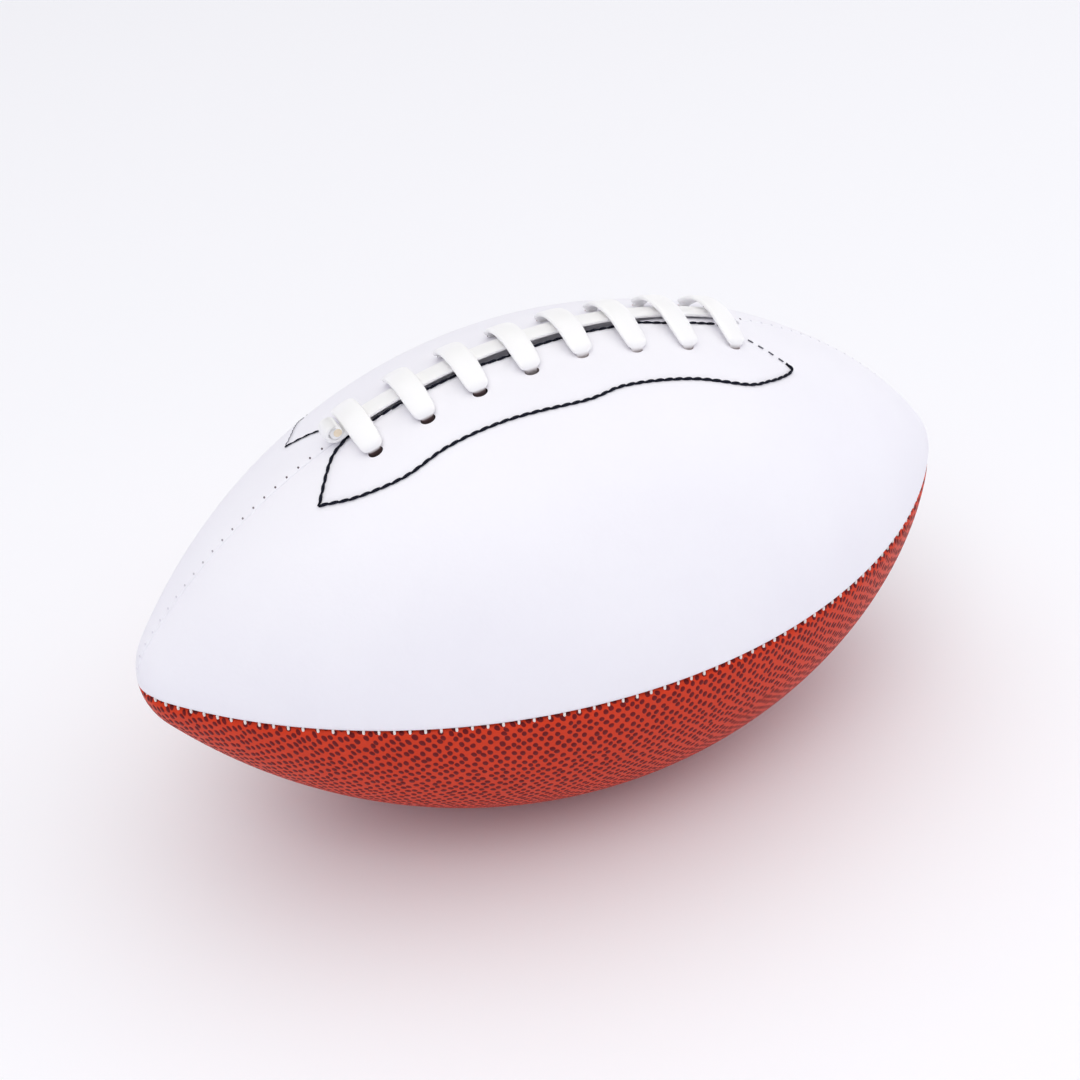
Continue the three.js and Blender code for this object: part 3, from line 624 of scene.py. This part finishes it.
def sewn_dimples(x, across, sign):
    """Depth pressed into the leather by the patch's stitches and by the lace at its holes."""
    depth = np.zeros_like(x)
    for run in patch_runs(sign):
        gap = np.full(x.shape, 1e9)
        for place in evenly(run, 1.0):
            gap = np.minimum(gap, (x - place[0]) ** 2 + (across - place[1]) ** 2)
        depth = np.maximum(depth, STITCH_DIMPLE * np.exp(-gap / STITCH_DIMPLE_SPREAD))
    for cross in CROSS_PLACES:
        row = abs(row_offset(cross, sign)) + HOLE_SHIFT
        gap = ((x - cross) / HOLE_DIMPLE_STRETCH) ** 2 + (across - row) ** 2
        depth = np.maximum(depth, HOLE_DIMPLE * np.exp(-gap / HOLE_DIMPLE_SPREAD))
    return depth


def panel_rounds(near, far, sign, laced):
    """Closed rounds of a panel from nose to nose: turned-in edge, roll, face, roll, edge and inner face."""
    limit = math.pi / 2 - NOSE_OPENING
    leans = np.concatenate([
        np.linspace(-limit, -JOIN_LEAN, NOSE_ROWS, endpoint=False),
        np.linspace(-JOIN_LEAN, JOIN_LEAN, BELLY_ROWS),
        np.linspace(limit, JOIN_LEAN, NOSE_ROWS, endpoint=False)[::-1],
    ])
    x, radius = outline(leans)
    fade = np.minimum(1.0, radius / EDGE_FADE_RADIUS)
    rolls = [np.full_like(x, SLIT_ROLL if laced else SEAM_ROLL), np.full_like(x, SEAM_ROLL)]
    plain = np.full_like(x, SEAM_GAP / 2)
    nose_gap = SEAM_GAP / 2 * np.minimum(1.0, radius / GAP_FADE_RADIUS)
    gaps = [slit_opening(x, sign) if laced else plain, plain]
    gaps = [np.where(np.abs(leans) > JOIN_LEAN, nose_gap, gap) for gap in gaps]
    edges = [np.arcsin((gap + roll * fade) / radius) for gap, roll in zip(gaps, rolls)]

    def edge_column(offset, depth, rolled, far_seam):
        if rolled:
            offset, depth = offset * rolls[far_seam], depth * rolls[far_seam]
        deep = outline(leans, depth * fade)
        reach = np.minimum((gaps[far_seam] + offset * fade) / deep[1], EDGE_REACH)
        angle = np.arcsin(reach)
        return (math.pi / 2 - angle if far_seam else angle), depth * fade

    def face_column(share, depth):
        angle = edges[0] + (math.pi / 2 - edges[0] - edges[1]) * share
        return angle, np.full_like(leans, depth) * (fade if depth else 1.0)

    turns = np.linspace(math.pi / 2, 0, ROLL_COLUMNS)
    outer = [(0.0, SEAM_TURN_IN, False)]
    outer += [(1 - math.sin(turn), 1 - math.cos(turn), True) for turn in turns]
    bent = COVER + SEAM_INNER_BEND
    inner = [(COVER, SEAM_TURN_IN, False), (COVER, bent, False), (bent, COVER, False)]
    faces = np.linspace(0, 1, FACE_COLUMNS)[1:-1]
    columns = [edge_column(*spot, 0) for spot in outer]
    columns += [face_column(share, 0.0) for share in faces]
    columns += [edge_column(*spot, 1) for spot in reversed(outer)]
    columns += [edge_column(*spot, 1) for spot in inner]
    columns += [face_column(share, COVER) for share in np.linspace(1, 0, INNER_COLUMNS)[1:-1]]
    columns += [edge_column(*spot, 0) for spot in reversed(inner)]

    angles = np.stack([column[0] for column in columns], axis=1)
    depths = np.stack([column[1] for column in columns], axis=1)
    spread_x = np.repeat(x[:, None], angles.shape[1], axis=1)
    if laced:
        outside = depths < 0.01
        depths = depths + np.where(outside, sewn_dimples(spread_x, angles * radius[:, None], sign), 0.0)
    along, reach = outline(leans[:, None], depths)
    points = along[..., None] * np.array([1.0, 0.0, 0.0])
    points = points + (reach * np.cos(angles))[..., None] * near + (reach * np.sin(angles))[..., None] * far
    points[..., 2] = np.maximum(points[..., 2], REST_FLAT - BALL_RADIUS)
    lengths = np.repeat(arc_length(leans)[:, None], angles.shape[1], axis=1)
    flat_map = np.stack([lengths, radius[:, None] * (angles - math.pi / 4) + depths * 0.7], axis=-1)
    return points, flat_map


def cut_holes(piece, face, pattern_places):
    """Cuts holes square to the surface; their walls show the raw edge of the leather, with painted shade.
    """
    deselect()
    bpy.ops.mesh.primitive_cylinder_add(vertices=28, radius=1, depth=2)
    cutter = laid_out("hole_cutters", bpy.context.object, pattern_places)
    cutter.data.materials.append(CUT_EDGE_AND_PAINTED_SHADE)
    piece.data.materials.append(face)
    holes = piece.modifiers.new("holes", "BOOLEAN")
    holes.operation = "DIFFERENCE"
    holes.object = cutter
    holes.solver = "EXACT"
    holes.material_mode = "TRANSFER"
    deselect()
    bpy.context.view_layer.objects.active = piece
    piece.select_set(True)
    bpy.ops.object.modifier_apply(modifier=holes.name)
    bpy.data.objects.remove(cutter)


def cover_panels():
    for name, side, sign in [("front", FRONT, -1), ("back", BACK, 1)]:
        points, flat_map = panel_rounds(UP, side, sign, True)
        white = closed_skin(f"white_cover_{name}", points, flat_map)
        places = []
        for cross in CROSS_PLACES:
            closed = float(smoothstep(cross, *HOLES_CLOSE)) if sign < 0 else 0.0
            row = row_offset(cross, sign) + sign * (HOLE_SHIFT - HOLE_SHIFT_CLOSED * closed)
            along, across, out = frame_at(cross, row)
            length = HOLE_ALONG - HOLE_ALONG_CLOSED * closed if sign < 0 else HOLE_ALONG_BACK
            size = (length, HOLE_ACROSS - HOLE_ACROSS_CLOSED * closed, HOLE_DEPTH)
            places.append(placed(on_ball(cross, row, 0.0), along, across, out, size))
        cut_holes(white, WHITE, places)
        finish_piece(white, "white_cover", [WHITE, CUT_EDGE_AND_PAINTED_SHADE], f"white_panel_{name}")
        points, flat_map = panel_rounds(DOWN, side, sign, False)
        pebbled = closed_skin(f"pebbled_cover_{name}", points, flat_map)
        if sign > 0:
            out = (DOWN + BACK) / math.sqrt(2)
            along = np.array([1.0, 0.0, 0.0])
            spot = placed(out * BALL_RADIUS, along, np.cross(out, along), out, VALVE_HOLE)
            cut_holes(pebbled, PEBBLED, [spot])
        finish_piece(pebbled, "pebbled_cover", [PEBBLED, CUT_EDGE_AND_PAINTED_SHADE], f"pebbled_panel_{name}")


cover_panels()


# Lace: the part's route in finer steps, tighter in its holes and with the band a little further back

BEND = np.linspace(0, math.pi / 2, 9)
ROLL_STEPS = 37


def band_height(x):
    return BAND_HEIGHT - BAND_DROP * float(smoothstep(x, *BAND_DROP_SPAN))


def band_middle(x):
    """The band's offset from the seam: its roll lies forward of it, and its dive is centred on the slit."""
    rolled = 1 - float(smoothstep(x, BAND_START, FIRST_CROSS + LACE_WIDTH / 2))
    dived = float(smoothstep(x, LAST_CROSS - LACE_PITCH, DIVE_START))
    return BAND_SHIFT * (1 - dived) + (ROLL_SHIFT - BAND_SHIFT) * rolled


def band_places():
    places = []
    for angle in np.linspace(LACE_END_CURL, 0, ROLL_STEPS):
        radius = LACE_END_ROLL + (LACE_END_CORE - LACE_END_ROLL) * angle / LACE_END_CURL
        height = BAND_HEIGHT + LACE_END_ROLL - radius * math.cos(angle)
        places.append((BAND_START - radius * math.sin(angle), ROLL_SHIFT, height, -math.pi / 2))
    for x in np.linspace(BAND_START, DIVE_START, 97)[1:]:
        places.append((x, band_middle(x), band_height(x), -math.pi / 2))
    return places


def dive_places():
    flat = -math.pi / 2
    places = []
    for angle in BEND[1:]:
        drop = LACE_BEND * (1 - math.cos(angle))
        places.append((DIVE_START + LACE_BEND * math.sin(angle), 0.0, band_height(DIVE_START) - drop, flat))
    for angle in BEND:
        depth = LACE_RUN_DEPTH - LACE_BEND + LACE_BEND * math.sin(angle)
        places.append((DIVE_START + LACE_BEND * math.cos(angle), 0.0, -depth, flat))
    for angle in BEND[1:]:
        x = DIVE_START - LACE_INNER_TURN * math.sin(angle)
        places.append((x, -LACE_INNER_TURN * (1 - math.cos(angle)), -LACE_RUN_DEPTH, flat + angle))
    return places


def hole_bend(x, across, heading):
    """A quarter bend from a hole into the run inside."""
    places = []
    for angle in BEND:
        reach = LACE_BEND * (1 - math.cos(angle))
        height = LACE_BEND * (1 - math.sin(angle)) - LACE_RUN_DEPTH
        places.append((x + heading[0] * reach, across + heading[1] * reach, height, 0.0))
    return places


def rounded_line(corners, trims):
    """A line through corners, each rounded by a curve that starts and ends a trim away from it."""
    corners = np.array(corners, float)
    points = [corners[0]]
    for before, corner, after, trim in zip(corners, corners[1:], corners[2:], trims):
        start = corner + (before - corner) * trim / np.linalg.norm(before - corner)
        end = corner + (after - corner) * trim / np.linalg.norm(after - corner)
        for share in np.linspace(0, 1, 9):
            points.append((1 - share) ** 2 * start + 2 * share * (1 - share) * corner + share**2 * end)
    return points + [corners[-1]]


def cross_over(x):
    """A cross, drawn tight: out of its front hole, up over the band and down its back hole."""
    foot = LACE_BEND - LACE_RUN_DEPTH
    front, back = row_offset(x, -1), row_offset(x, 1)
    reach = LACE_WIDTH / 2 + LACE_SHOULDER_REACH
    corners = [
        (front, foot),
        (front, LACE_RISE),
        (band_middle(x) - reach, CROSS_HEIGHT),
        (band_middle(x) + reach, CROSS_HEIGHT),
        (back, LACE_RISE),
        (back, foot),
    ]
    line = rounded_line(corners, [LACE_RISE, LACE_SHOULDER, LACE_SHOULDER, LACE_RISE])
    return [(x, across, height, 0.0) for across, height in evenly(line, CROSS_STEP)]


def lace_places():
    places = band_places() + dive_places()
    places += hole_bend(LAST_CROSS, row_offset(LAST_CROSS, -1), (0.0, 1.0))[:0:-1]
    for x in CROSS_PLACES[::-1]:
        last = x == CROSS_PLACES[0]
        start = np.array([x, row_offset(x, 1)])
        target = np.array([x - LACE_PITCH, row_offset(x - LACE_PITCH, -1)])
        length = np.linalg.norm(target - start)
        heading = (target - start) / length
        places += cross_over(x) + hole_bend(*start, heading)[1:]
        for run in np.linspace(LACE_BEND, LACE_TAIL if last else length - LACE_BEND, 10)[1:-1]:
            spot = start + heading * run
            places.append((spot[0], spot[1], -LACE_RUN_DEPTH, 0.0))
        if not last:
            places += hole_bend(*target, -heading)[:0:-1]
    return places


def lace_width(x, height):
    """The strip is squeezed round in its holes and cut narrower at its rolled end."""
    risen = min(max((height - SQUEEZE_START) / SQUEEZE_RISE, 0.0), 1.0)
    squeezed = LACE_HOLE_WIDTH + (LACE_WIDTH - LACE_HOLE_WIDTH) * math.sqrt(1 - (1 - risen) ** 2)
    rolled = float(smoothstep(x, BAND_START + LACE_END_CORE, FIRST_CROSS)) if height > 0 else 1.0
    return LACE_END_WIDTH + (squeezed - LACE_END_WIDTH) * rolled


def lace_rounds():
    places = lace_places()
    points = np.array([on_ball(*place[:3]) for place in places])
    headings = np.gradient(points, axis=0)
    turns = np.linspace(0, 2 * math.pi, STRIP_SIDES, endpoint=False)
    wide = np.sign(np.cos(turns)) * np.abs(np.cos(turns)) ** STRIP_ROUNDNESS / 2
    thick = np.sign(np.sin(turns)) * np.abs(np.sin(turns)) ** STRIP_ROUNDNESS / 2
    rounds = []
    for point, heading, (x, across, height, turn) in zip(points, headings, places):
        along, sideways, _ = frame_at(x, across)
        width = math.cos(turn) * along + math.sin(turn) * sideways
        depth = np.cross(heading, width)
        depth /= np.linalg.norm(depth)
        breadth = lace_width(x, height)
        rounds.append(point + wide[:, None] * width * breadth + thick[:, None] * depth * LACE_THICKNESS)
    return np.array(rounds)


def painted_shade_heights(points):
    """Heights of the lace above the leather, which place its painted shade; raised at the back to keep
    shade off there.
    """
    reach = np.hypot(points[..., 1], points[..., 2])
    heights = np.hypot(points[..., 0], reach + BELLY_RADIUS - BALL_RADIUS) - BELLY_RADIUS
    return heights + np.where(points[..., 1] > 0, UNSHADED_BACK_RAISE, 0.0)


def rolled_core():
    """The roll's inner turns: white outside, with the core bare on the cut sides."""
    deselect()
    bpy.ops.mesh.primitive_cylinder_add(vertices=32, radius=1, depth=2)
    core = bpy.context.object
    bpy.ops.object.mode_set(mode="EDIT")
    bpy.ops.mesh.select_all(action="SELECT")
    bpy.ops.mesh.bevel(offset=CORE_BEVEL, segments=3, affect="EDGES")
    bpy.ops.object.mode_set(mode="OBJECT")
    mesh = core.data
    for end in (-1, 1):
        bpy.ops.object.mode_set(mode="EDIT")
        bpy.ops.mesh.select_mode(type="FACE")
        bpy.ops.mesh.select_all(action="DESELECT")
        bpy.ops.object.mode_set(mode="OBJECT")
        for face in mesh.polygons:
            face.select = face.normal.z * end > 0.99
        bpy.ops.object.mode_set(mode="EDIT")
        bpy.ops.mesh.inset(thickness=CORE_RIM)
        bpy.ops.transform.translate(value=CORE_SHIFT)
        bpy.ops.object.mode_set(mode="OBJECT")
        for face in mesh.polygons:
            if face.select:
                face.material_index = 1
    mesh.materials.append(LACE)
    mesh.materials.append(CORE)
    mesh.uv_layers[0].name = "leather"
    mesh.uv_layers[0].data.foreach_set("uv", np.tile([BAND_HEIGHT, BAND_START], len(mesh.loops)))
    along, _, out = frame_at(BAND_START, ROLL_SHIFT)
    middle = on_ball(BAND_START + CORE_LEAD, ROLL_SHIFT, BAND_HEIGHT + LACE_END_ROLL - CORE_DROP)
    size = (CORE_RADIUS, CORE_RADIUS, LACE_END_WIDTH / 2 + CORE_OVERHANG)
    mesh.transform(placed(middle, along, out, np.cross(along, out), size))
    return core


def lace():
    rounds = lace_rounds()
    piece = closed_skin("lace_strip", rounds, np.stack([painted_shade_heights(rounds), rounds[..., 0]], axis=-1))
    piece.data.materials.append(LACE)
    core = rolled_core()
    deselect()
    core.select_set(True)
    piece.select_set(True)
    bpy.context.view_layer.objects.active = piece
    bpy.ops.object.join()
    finish_piece(piece, "lace", [LACE, CORE], "lace")


lace()


# Stitches

def stitch_pattern(length, diameter):
    """A round-ended strand along X, in millimetres about the origin."""
    deselect()
    bpy.ops.mesh.primitive_cylinder_add(
        vertices=STRAND_SIDES, radius=diameter / 2, depth=length, rotation=(0, math.pi / 2, 0)
    )
    strand = bpy.context.object
    bpy.ops.object.transform_apply(location=False, rotation=True, scale=False)
    bpy.ops.object.mode_set(mode="EDIT")
    bpy.ops.mesh.select_all(action="SELECT")
    bpy.ops.mesh.bevel(offset=diameter * 0.3, segments=2, affect="EDGES")
    bpy.ops.object.mode_set(mode="OBJECT")
    return strand


def sewn_line(name, run, sign, diameter):
    """A line of stitches end to end: each strand swells between its needle holes and leans a little."""
    spots = evenly(run, LINE_STEP)
    lean = np.gradient(spots, axis=0)
    turns = np.linspace(0, 2 * math.pi, STRAND_SIDES, endpoint=False)
    rounds = []
    for order, (spot, heading) in enumerate(zip(spots, lean)):
        share = order * LINE_STEP / STITCH % 1.0
        along, sideways, out = frame_at(spot[0], sign * spot[1])
        heading = heading[0] * along + sign * heading[1] * sideways
        beside = np.cross(out, heading / np.linalg.norm(heading))
        hump = math.sin(math.pi * share)
        swell = LINE_WAIST + (1 - LINE_WAIST) * hump
        sway = LINE_SWAY * (share - 0.5) * (1 - smoothstep(share, LINE_RETURN, 1.0) * 2)
        middle = on_ball(spot[0], sign * spot[1], LINE_RISE * hump - LINE_DEPTH) + beside * sway
        ring = np.cos(turns)[:, None] * beside + np.sin(turns)[:, None] * out
        rounds.append(middle + ring * diameter / 2 * swell)
    return closed_skin(name, np.array(rounds))


def tip_stitches(name, run, sign):
    """The thin spaced stitches of the leg from the tip to the slit."""
    places = []
    spots = evenly(run, TIP_STITCH)
    for start, end in zip(spots, spots[1:]):
        (x, across), lean = (start + end) / 2, end - start
        along, sideways, out = frame_at(x, sign * across)
        heading = lean[0] * along + sign * lean[1] * sideways
        heading /= np.linalg.norm(heading)
        places.append(placed(on_ball(x, sign * across, -TIP_DEPTH), heading, np.cross(out, heading), out))
    return laid_out(name, stitch_pattern(*TIP_STRAND), places)


def patch_stitching():
    for name, sign in [("front", -1), ("back", 1)]:
        wave, leg, slit, corner, *fold = patch_runs(sign)
        full = PATCH_LINE_FRONT if sign < 0 else PATCH_LINE_BACK
        lines = [
            sewn_line(f"wave_stitches_{name}", wave, sign, full),
            sewn_line(f"slit_stitches_{name}", slit, sign, SLIT_LINE),
            sewn_line(f"corner_stitches_{name}", corner, sign, full),
            tip_stitches(f"tip_stitches_{name}", leg, sign),
        ]
        lines += [sewn_line(f"fold_stitches_{name}", run, sign, FOLD_LINE) for run in fold]
        for order, line in enumerate(lines):
            line.data.materials.append(PATCH_THREAD if order < 3 else FADED_THREAD)
        deselect()
        for line in lines:
            line.select_set(True)
        bpy.context.view_layer.objects.active = lines[0]
        bpy.ops.object.join()
        lines[0].name = f"patch_stitches_{name}"
        finish_piece(lines[0], "patch_thread", [PATCH_THREAD, FADED_THREAD], f"patch_stitching_{name}")


patch_stitching()


def seam_places(seam, spacing, low, high, depth):
    """Points and outward directions at even steps along a seam, between two leans."""
    first, last = float(arc_length(low)), float(arc_length(high))
    count = round((last - first) / spacing)
    places = []
    for step in range(count + 1):
        length = first + (last - first) * step / count
        steep = min(abs(length) / BELLY_RADIUS, JOIN_LEAN)
        steep += max(0.0, abs(length) - BELLY_RADIUS * JOIN_LEAN) / NOSE_RADIUS
        lean = math.copysign(steep, length)
        x, radius = outline(lean, depth)
        out = np.array([math.sin(lean), 0.0, 0.0]) + math.cos(lean) * seam
        places.append((np.array([float(x), 0.0, 0.0]) + float(radius) * seam, out))
    return places


def seam_stitches():
    left_end = lean_at(SLIT_START - TOP_DOTS_BEFORE_SLIT)
    right_start = lean_at(DIVE_HOLE + TOP_DOTS_PAST_HOLE)
    seams = [
        ("side", "front", FRONT, DOWN, -SIDE_SEAM_LEAN, SIDE_SEAM_LEAN, SEAM_THREAD),
        ("side", "back", BACK, DOWN, -SIDE_SEAM_LEAN, SIDE_SEAM_LEAN, SEAM_THREAD),
        ("bottom", None, DOWN, BACK, -END_LEAN, END_LEAN, SEAM_THREAD),
        ("top", "left", UP, BACK, -END_LEAN, left_end, TOP_DOT_PAINTED_SHADE_LEFT),
        ("top", "right", UP, BACK, right_start, END_LEAN, TOP_DOT_PAINTED_SHADE_RIGHT),
    ]
    for kind, end, seam, across, low, high, thread in seams:
        suffix = f"_{end}" if end else ""
        name, replaced = f"{kind}_stitches{suffix}", f"{kind}_seam_thread{suffix}"
        on_top = kind == "top"
        places = []
        for point, out in seam_places(seam, SEAM_STITCH, low, high, TICK_DEPTH[kind]):
            if on_top:
                point = point + across * TOP_DOT_OFFSET
            places.append(placed(point, across, np.cross(out, across), out))
        pattern = stitch_pattern(*(TOP_DOT if on_top else SEAM_TICK))
        stitches = laid_out(name, pattern, places)
        finish_piece(stitches, "seam_thread", thread, replaced)


seam_stitches()


# Tongue below the slit

def tongue():
    stations = np.linspace(FIRST_CROSS - TONGUE_LEAD, DIVE_HOLE + TONGUE_PAST_HOLE, 60)
    columns = np.linspace(-TONGUE_HALF, TONGUE_HALF, 21)
    crowns = TONGUE_CROWN * (columns / TONGUE_HALF) ** 2
    rounds = []
    for x in stations:
        ripple = TONGUE_RIPPLE * math.sin(x * TONGUE_RIPPLE_TURN)
        top = [on_ball(x, across, -TONGUE_TOP - ripple - crown) for across, crown in zip(columns, crowns)]
        below = [on_ball(x, across, -TONGUE_BOTTOM - ripple) for across in columns[::-1]]
        rounds.append(top + below)
    piece = closed_skin("tongue_pad", np.array(rounds))
    finish_piece(piece, "tongue", TONGUE, "lace_tongue")


tongue()

# Hidden pieces keep their solids, with their own finishes
for name, node in nodes.items():
    if "lining" in name or "lace_patch" in name:
        node.data.materials.clear()
        node.data.materials.append(LINING)
    elif name in ("bladder", "valve_seat", "valve_core"):
        node.data.materials.clear()
        node.data.materials.append(RUBBER)


# Floor, light and camera

# Sky strength by height: bright low down and overhead, dim between.
# Each band gives two heights and the strengths there.
SKY_BANDS = [(0.12, 0.3, 1.42, 0.2), (0.5, 0.85, 0.0, 1.2)]
SKY_TINTS = [(0.87, 0.86, 1.0, 1.0), (0.985, 0.985, 0.945, 1.0)]
# Each lamp gives its place, size and power
LAMPS = [("front", (-0.7, -0.8, 1.38), 1.0, 4.9), ("right", (1.4, -0.6, 0.7), 1.4, 4.1)]
LAMP_AIM = Vector((0.0, 0.0, 0.05))
FLOOR_SIZE = 12
FLOOR_BOUNCE = (0.86, 0.87, 0.91, 1.0)
FLOOR_SEEN = (0.945, 0.945, 0.98, 1.0)
CAMERA_PLACE = (-0.16034, -0.33686, 0.33132)
CAMERA_TURN = (55.234, 2.728, -26.279)
CAMERA_LENS = 51.7
CAMERA_SENSOR = 36


def floor():
    deselect()
    bpy.ops.mesh.primitive_plane_add(size=FLOOR_SIZE, location=(0, 0, 0))
    plane = bpy.context.object
    plane.name = "floor"
    finish = Finish("floor_paper", 0.9)
    finish.shader.inputs["Specular IOR Level"].default_value = 0.0
    path = finish.node("ShaderNodeLightPath").outputs
    mirrored = finish.math("MAXIMUM", path["Is Glossy Ray"], path["Is Transmission Ray"])
    seen = finish.math("MAXIMUM", path["Is Camera Ray"], mirrored)
    color = finish.mix(seen, FLOOR_BOUNCE, FLOOR_SEEN)
    plane.data.materials.append(finish.finish(color))


def lights():
    world = bpy.data.worlds.new("studio")
    world.use_nodes = True
    tree = world.node_tree
    direction = tree.nodes.new("ShaderNodeTexCoord").outputs["Generated"]
    parts = tree.nodes.new("ShaderNodeSeparateXYZ")
    tree.links.new(direction, parts.inputs[0])
    sky = tree.nodes.new("ShaderNodeAddShader")
    for order, ((low, high, start, end), tint) in enumerate(zip(SKY_BANDS, SKY_TINTS)):
        band = tree.nodes.new("ShaderNodeMapRange")
        band.interpolation_type = "SMOOTHSTEP"
        tree.links.new(parts.outputs["Z"], band.inputs["Value"])
        for key, value in [("From Min", low), ("From Max", high), ("To Min", start), ("To Max", end)]:
            band.inputs[key].default_value = value
        background = tree.nodes.new("ShaderNodeBackground")
        background.inputs["Color"].default_value = tint
        tree.links.new(band.outputs["Result"], background.inputs["Strength"])
        tree.links.new(background.outputs[0], sky.inputs[order])
    tree.links.new(sky.outputs[0], tree.nodes["World Output"].inputs["Surface"])
    bpy.context.scene.world = world
    for name, place, size, power in LAMPS:
        bpy.ops.object.light_add(type="AREA", location=place)
        lamp = bpy.context.object
        lamp.name = name
        lamp.data.size = size
        lamp.data.energy = power
        aim = LAMP_AIM - Vector(place)
        lamp.rotation_euler = aim.to_track_quat("-Z", "Y").to_euler()


def camera():
    bpy.ops.object.camera_add(location=CAMERA_PLACE)
    view = bpy.context.object
    view.rotation_euler = [math.radians(angle) for angle in CAMERA_TURN]
    view.data.sensor_width = CAMERA_SENSOR
    view.data.lens = CAMERA_LENS
    view.data.clip_start = 0.01
    bpy.context.scene.camera = view


deselect()
floor()
lights()
camera()
bpy.context.scene.view_settings.view_transform = "Standard"
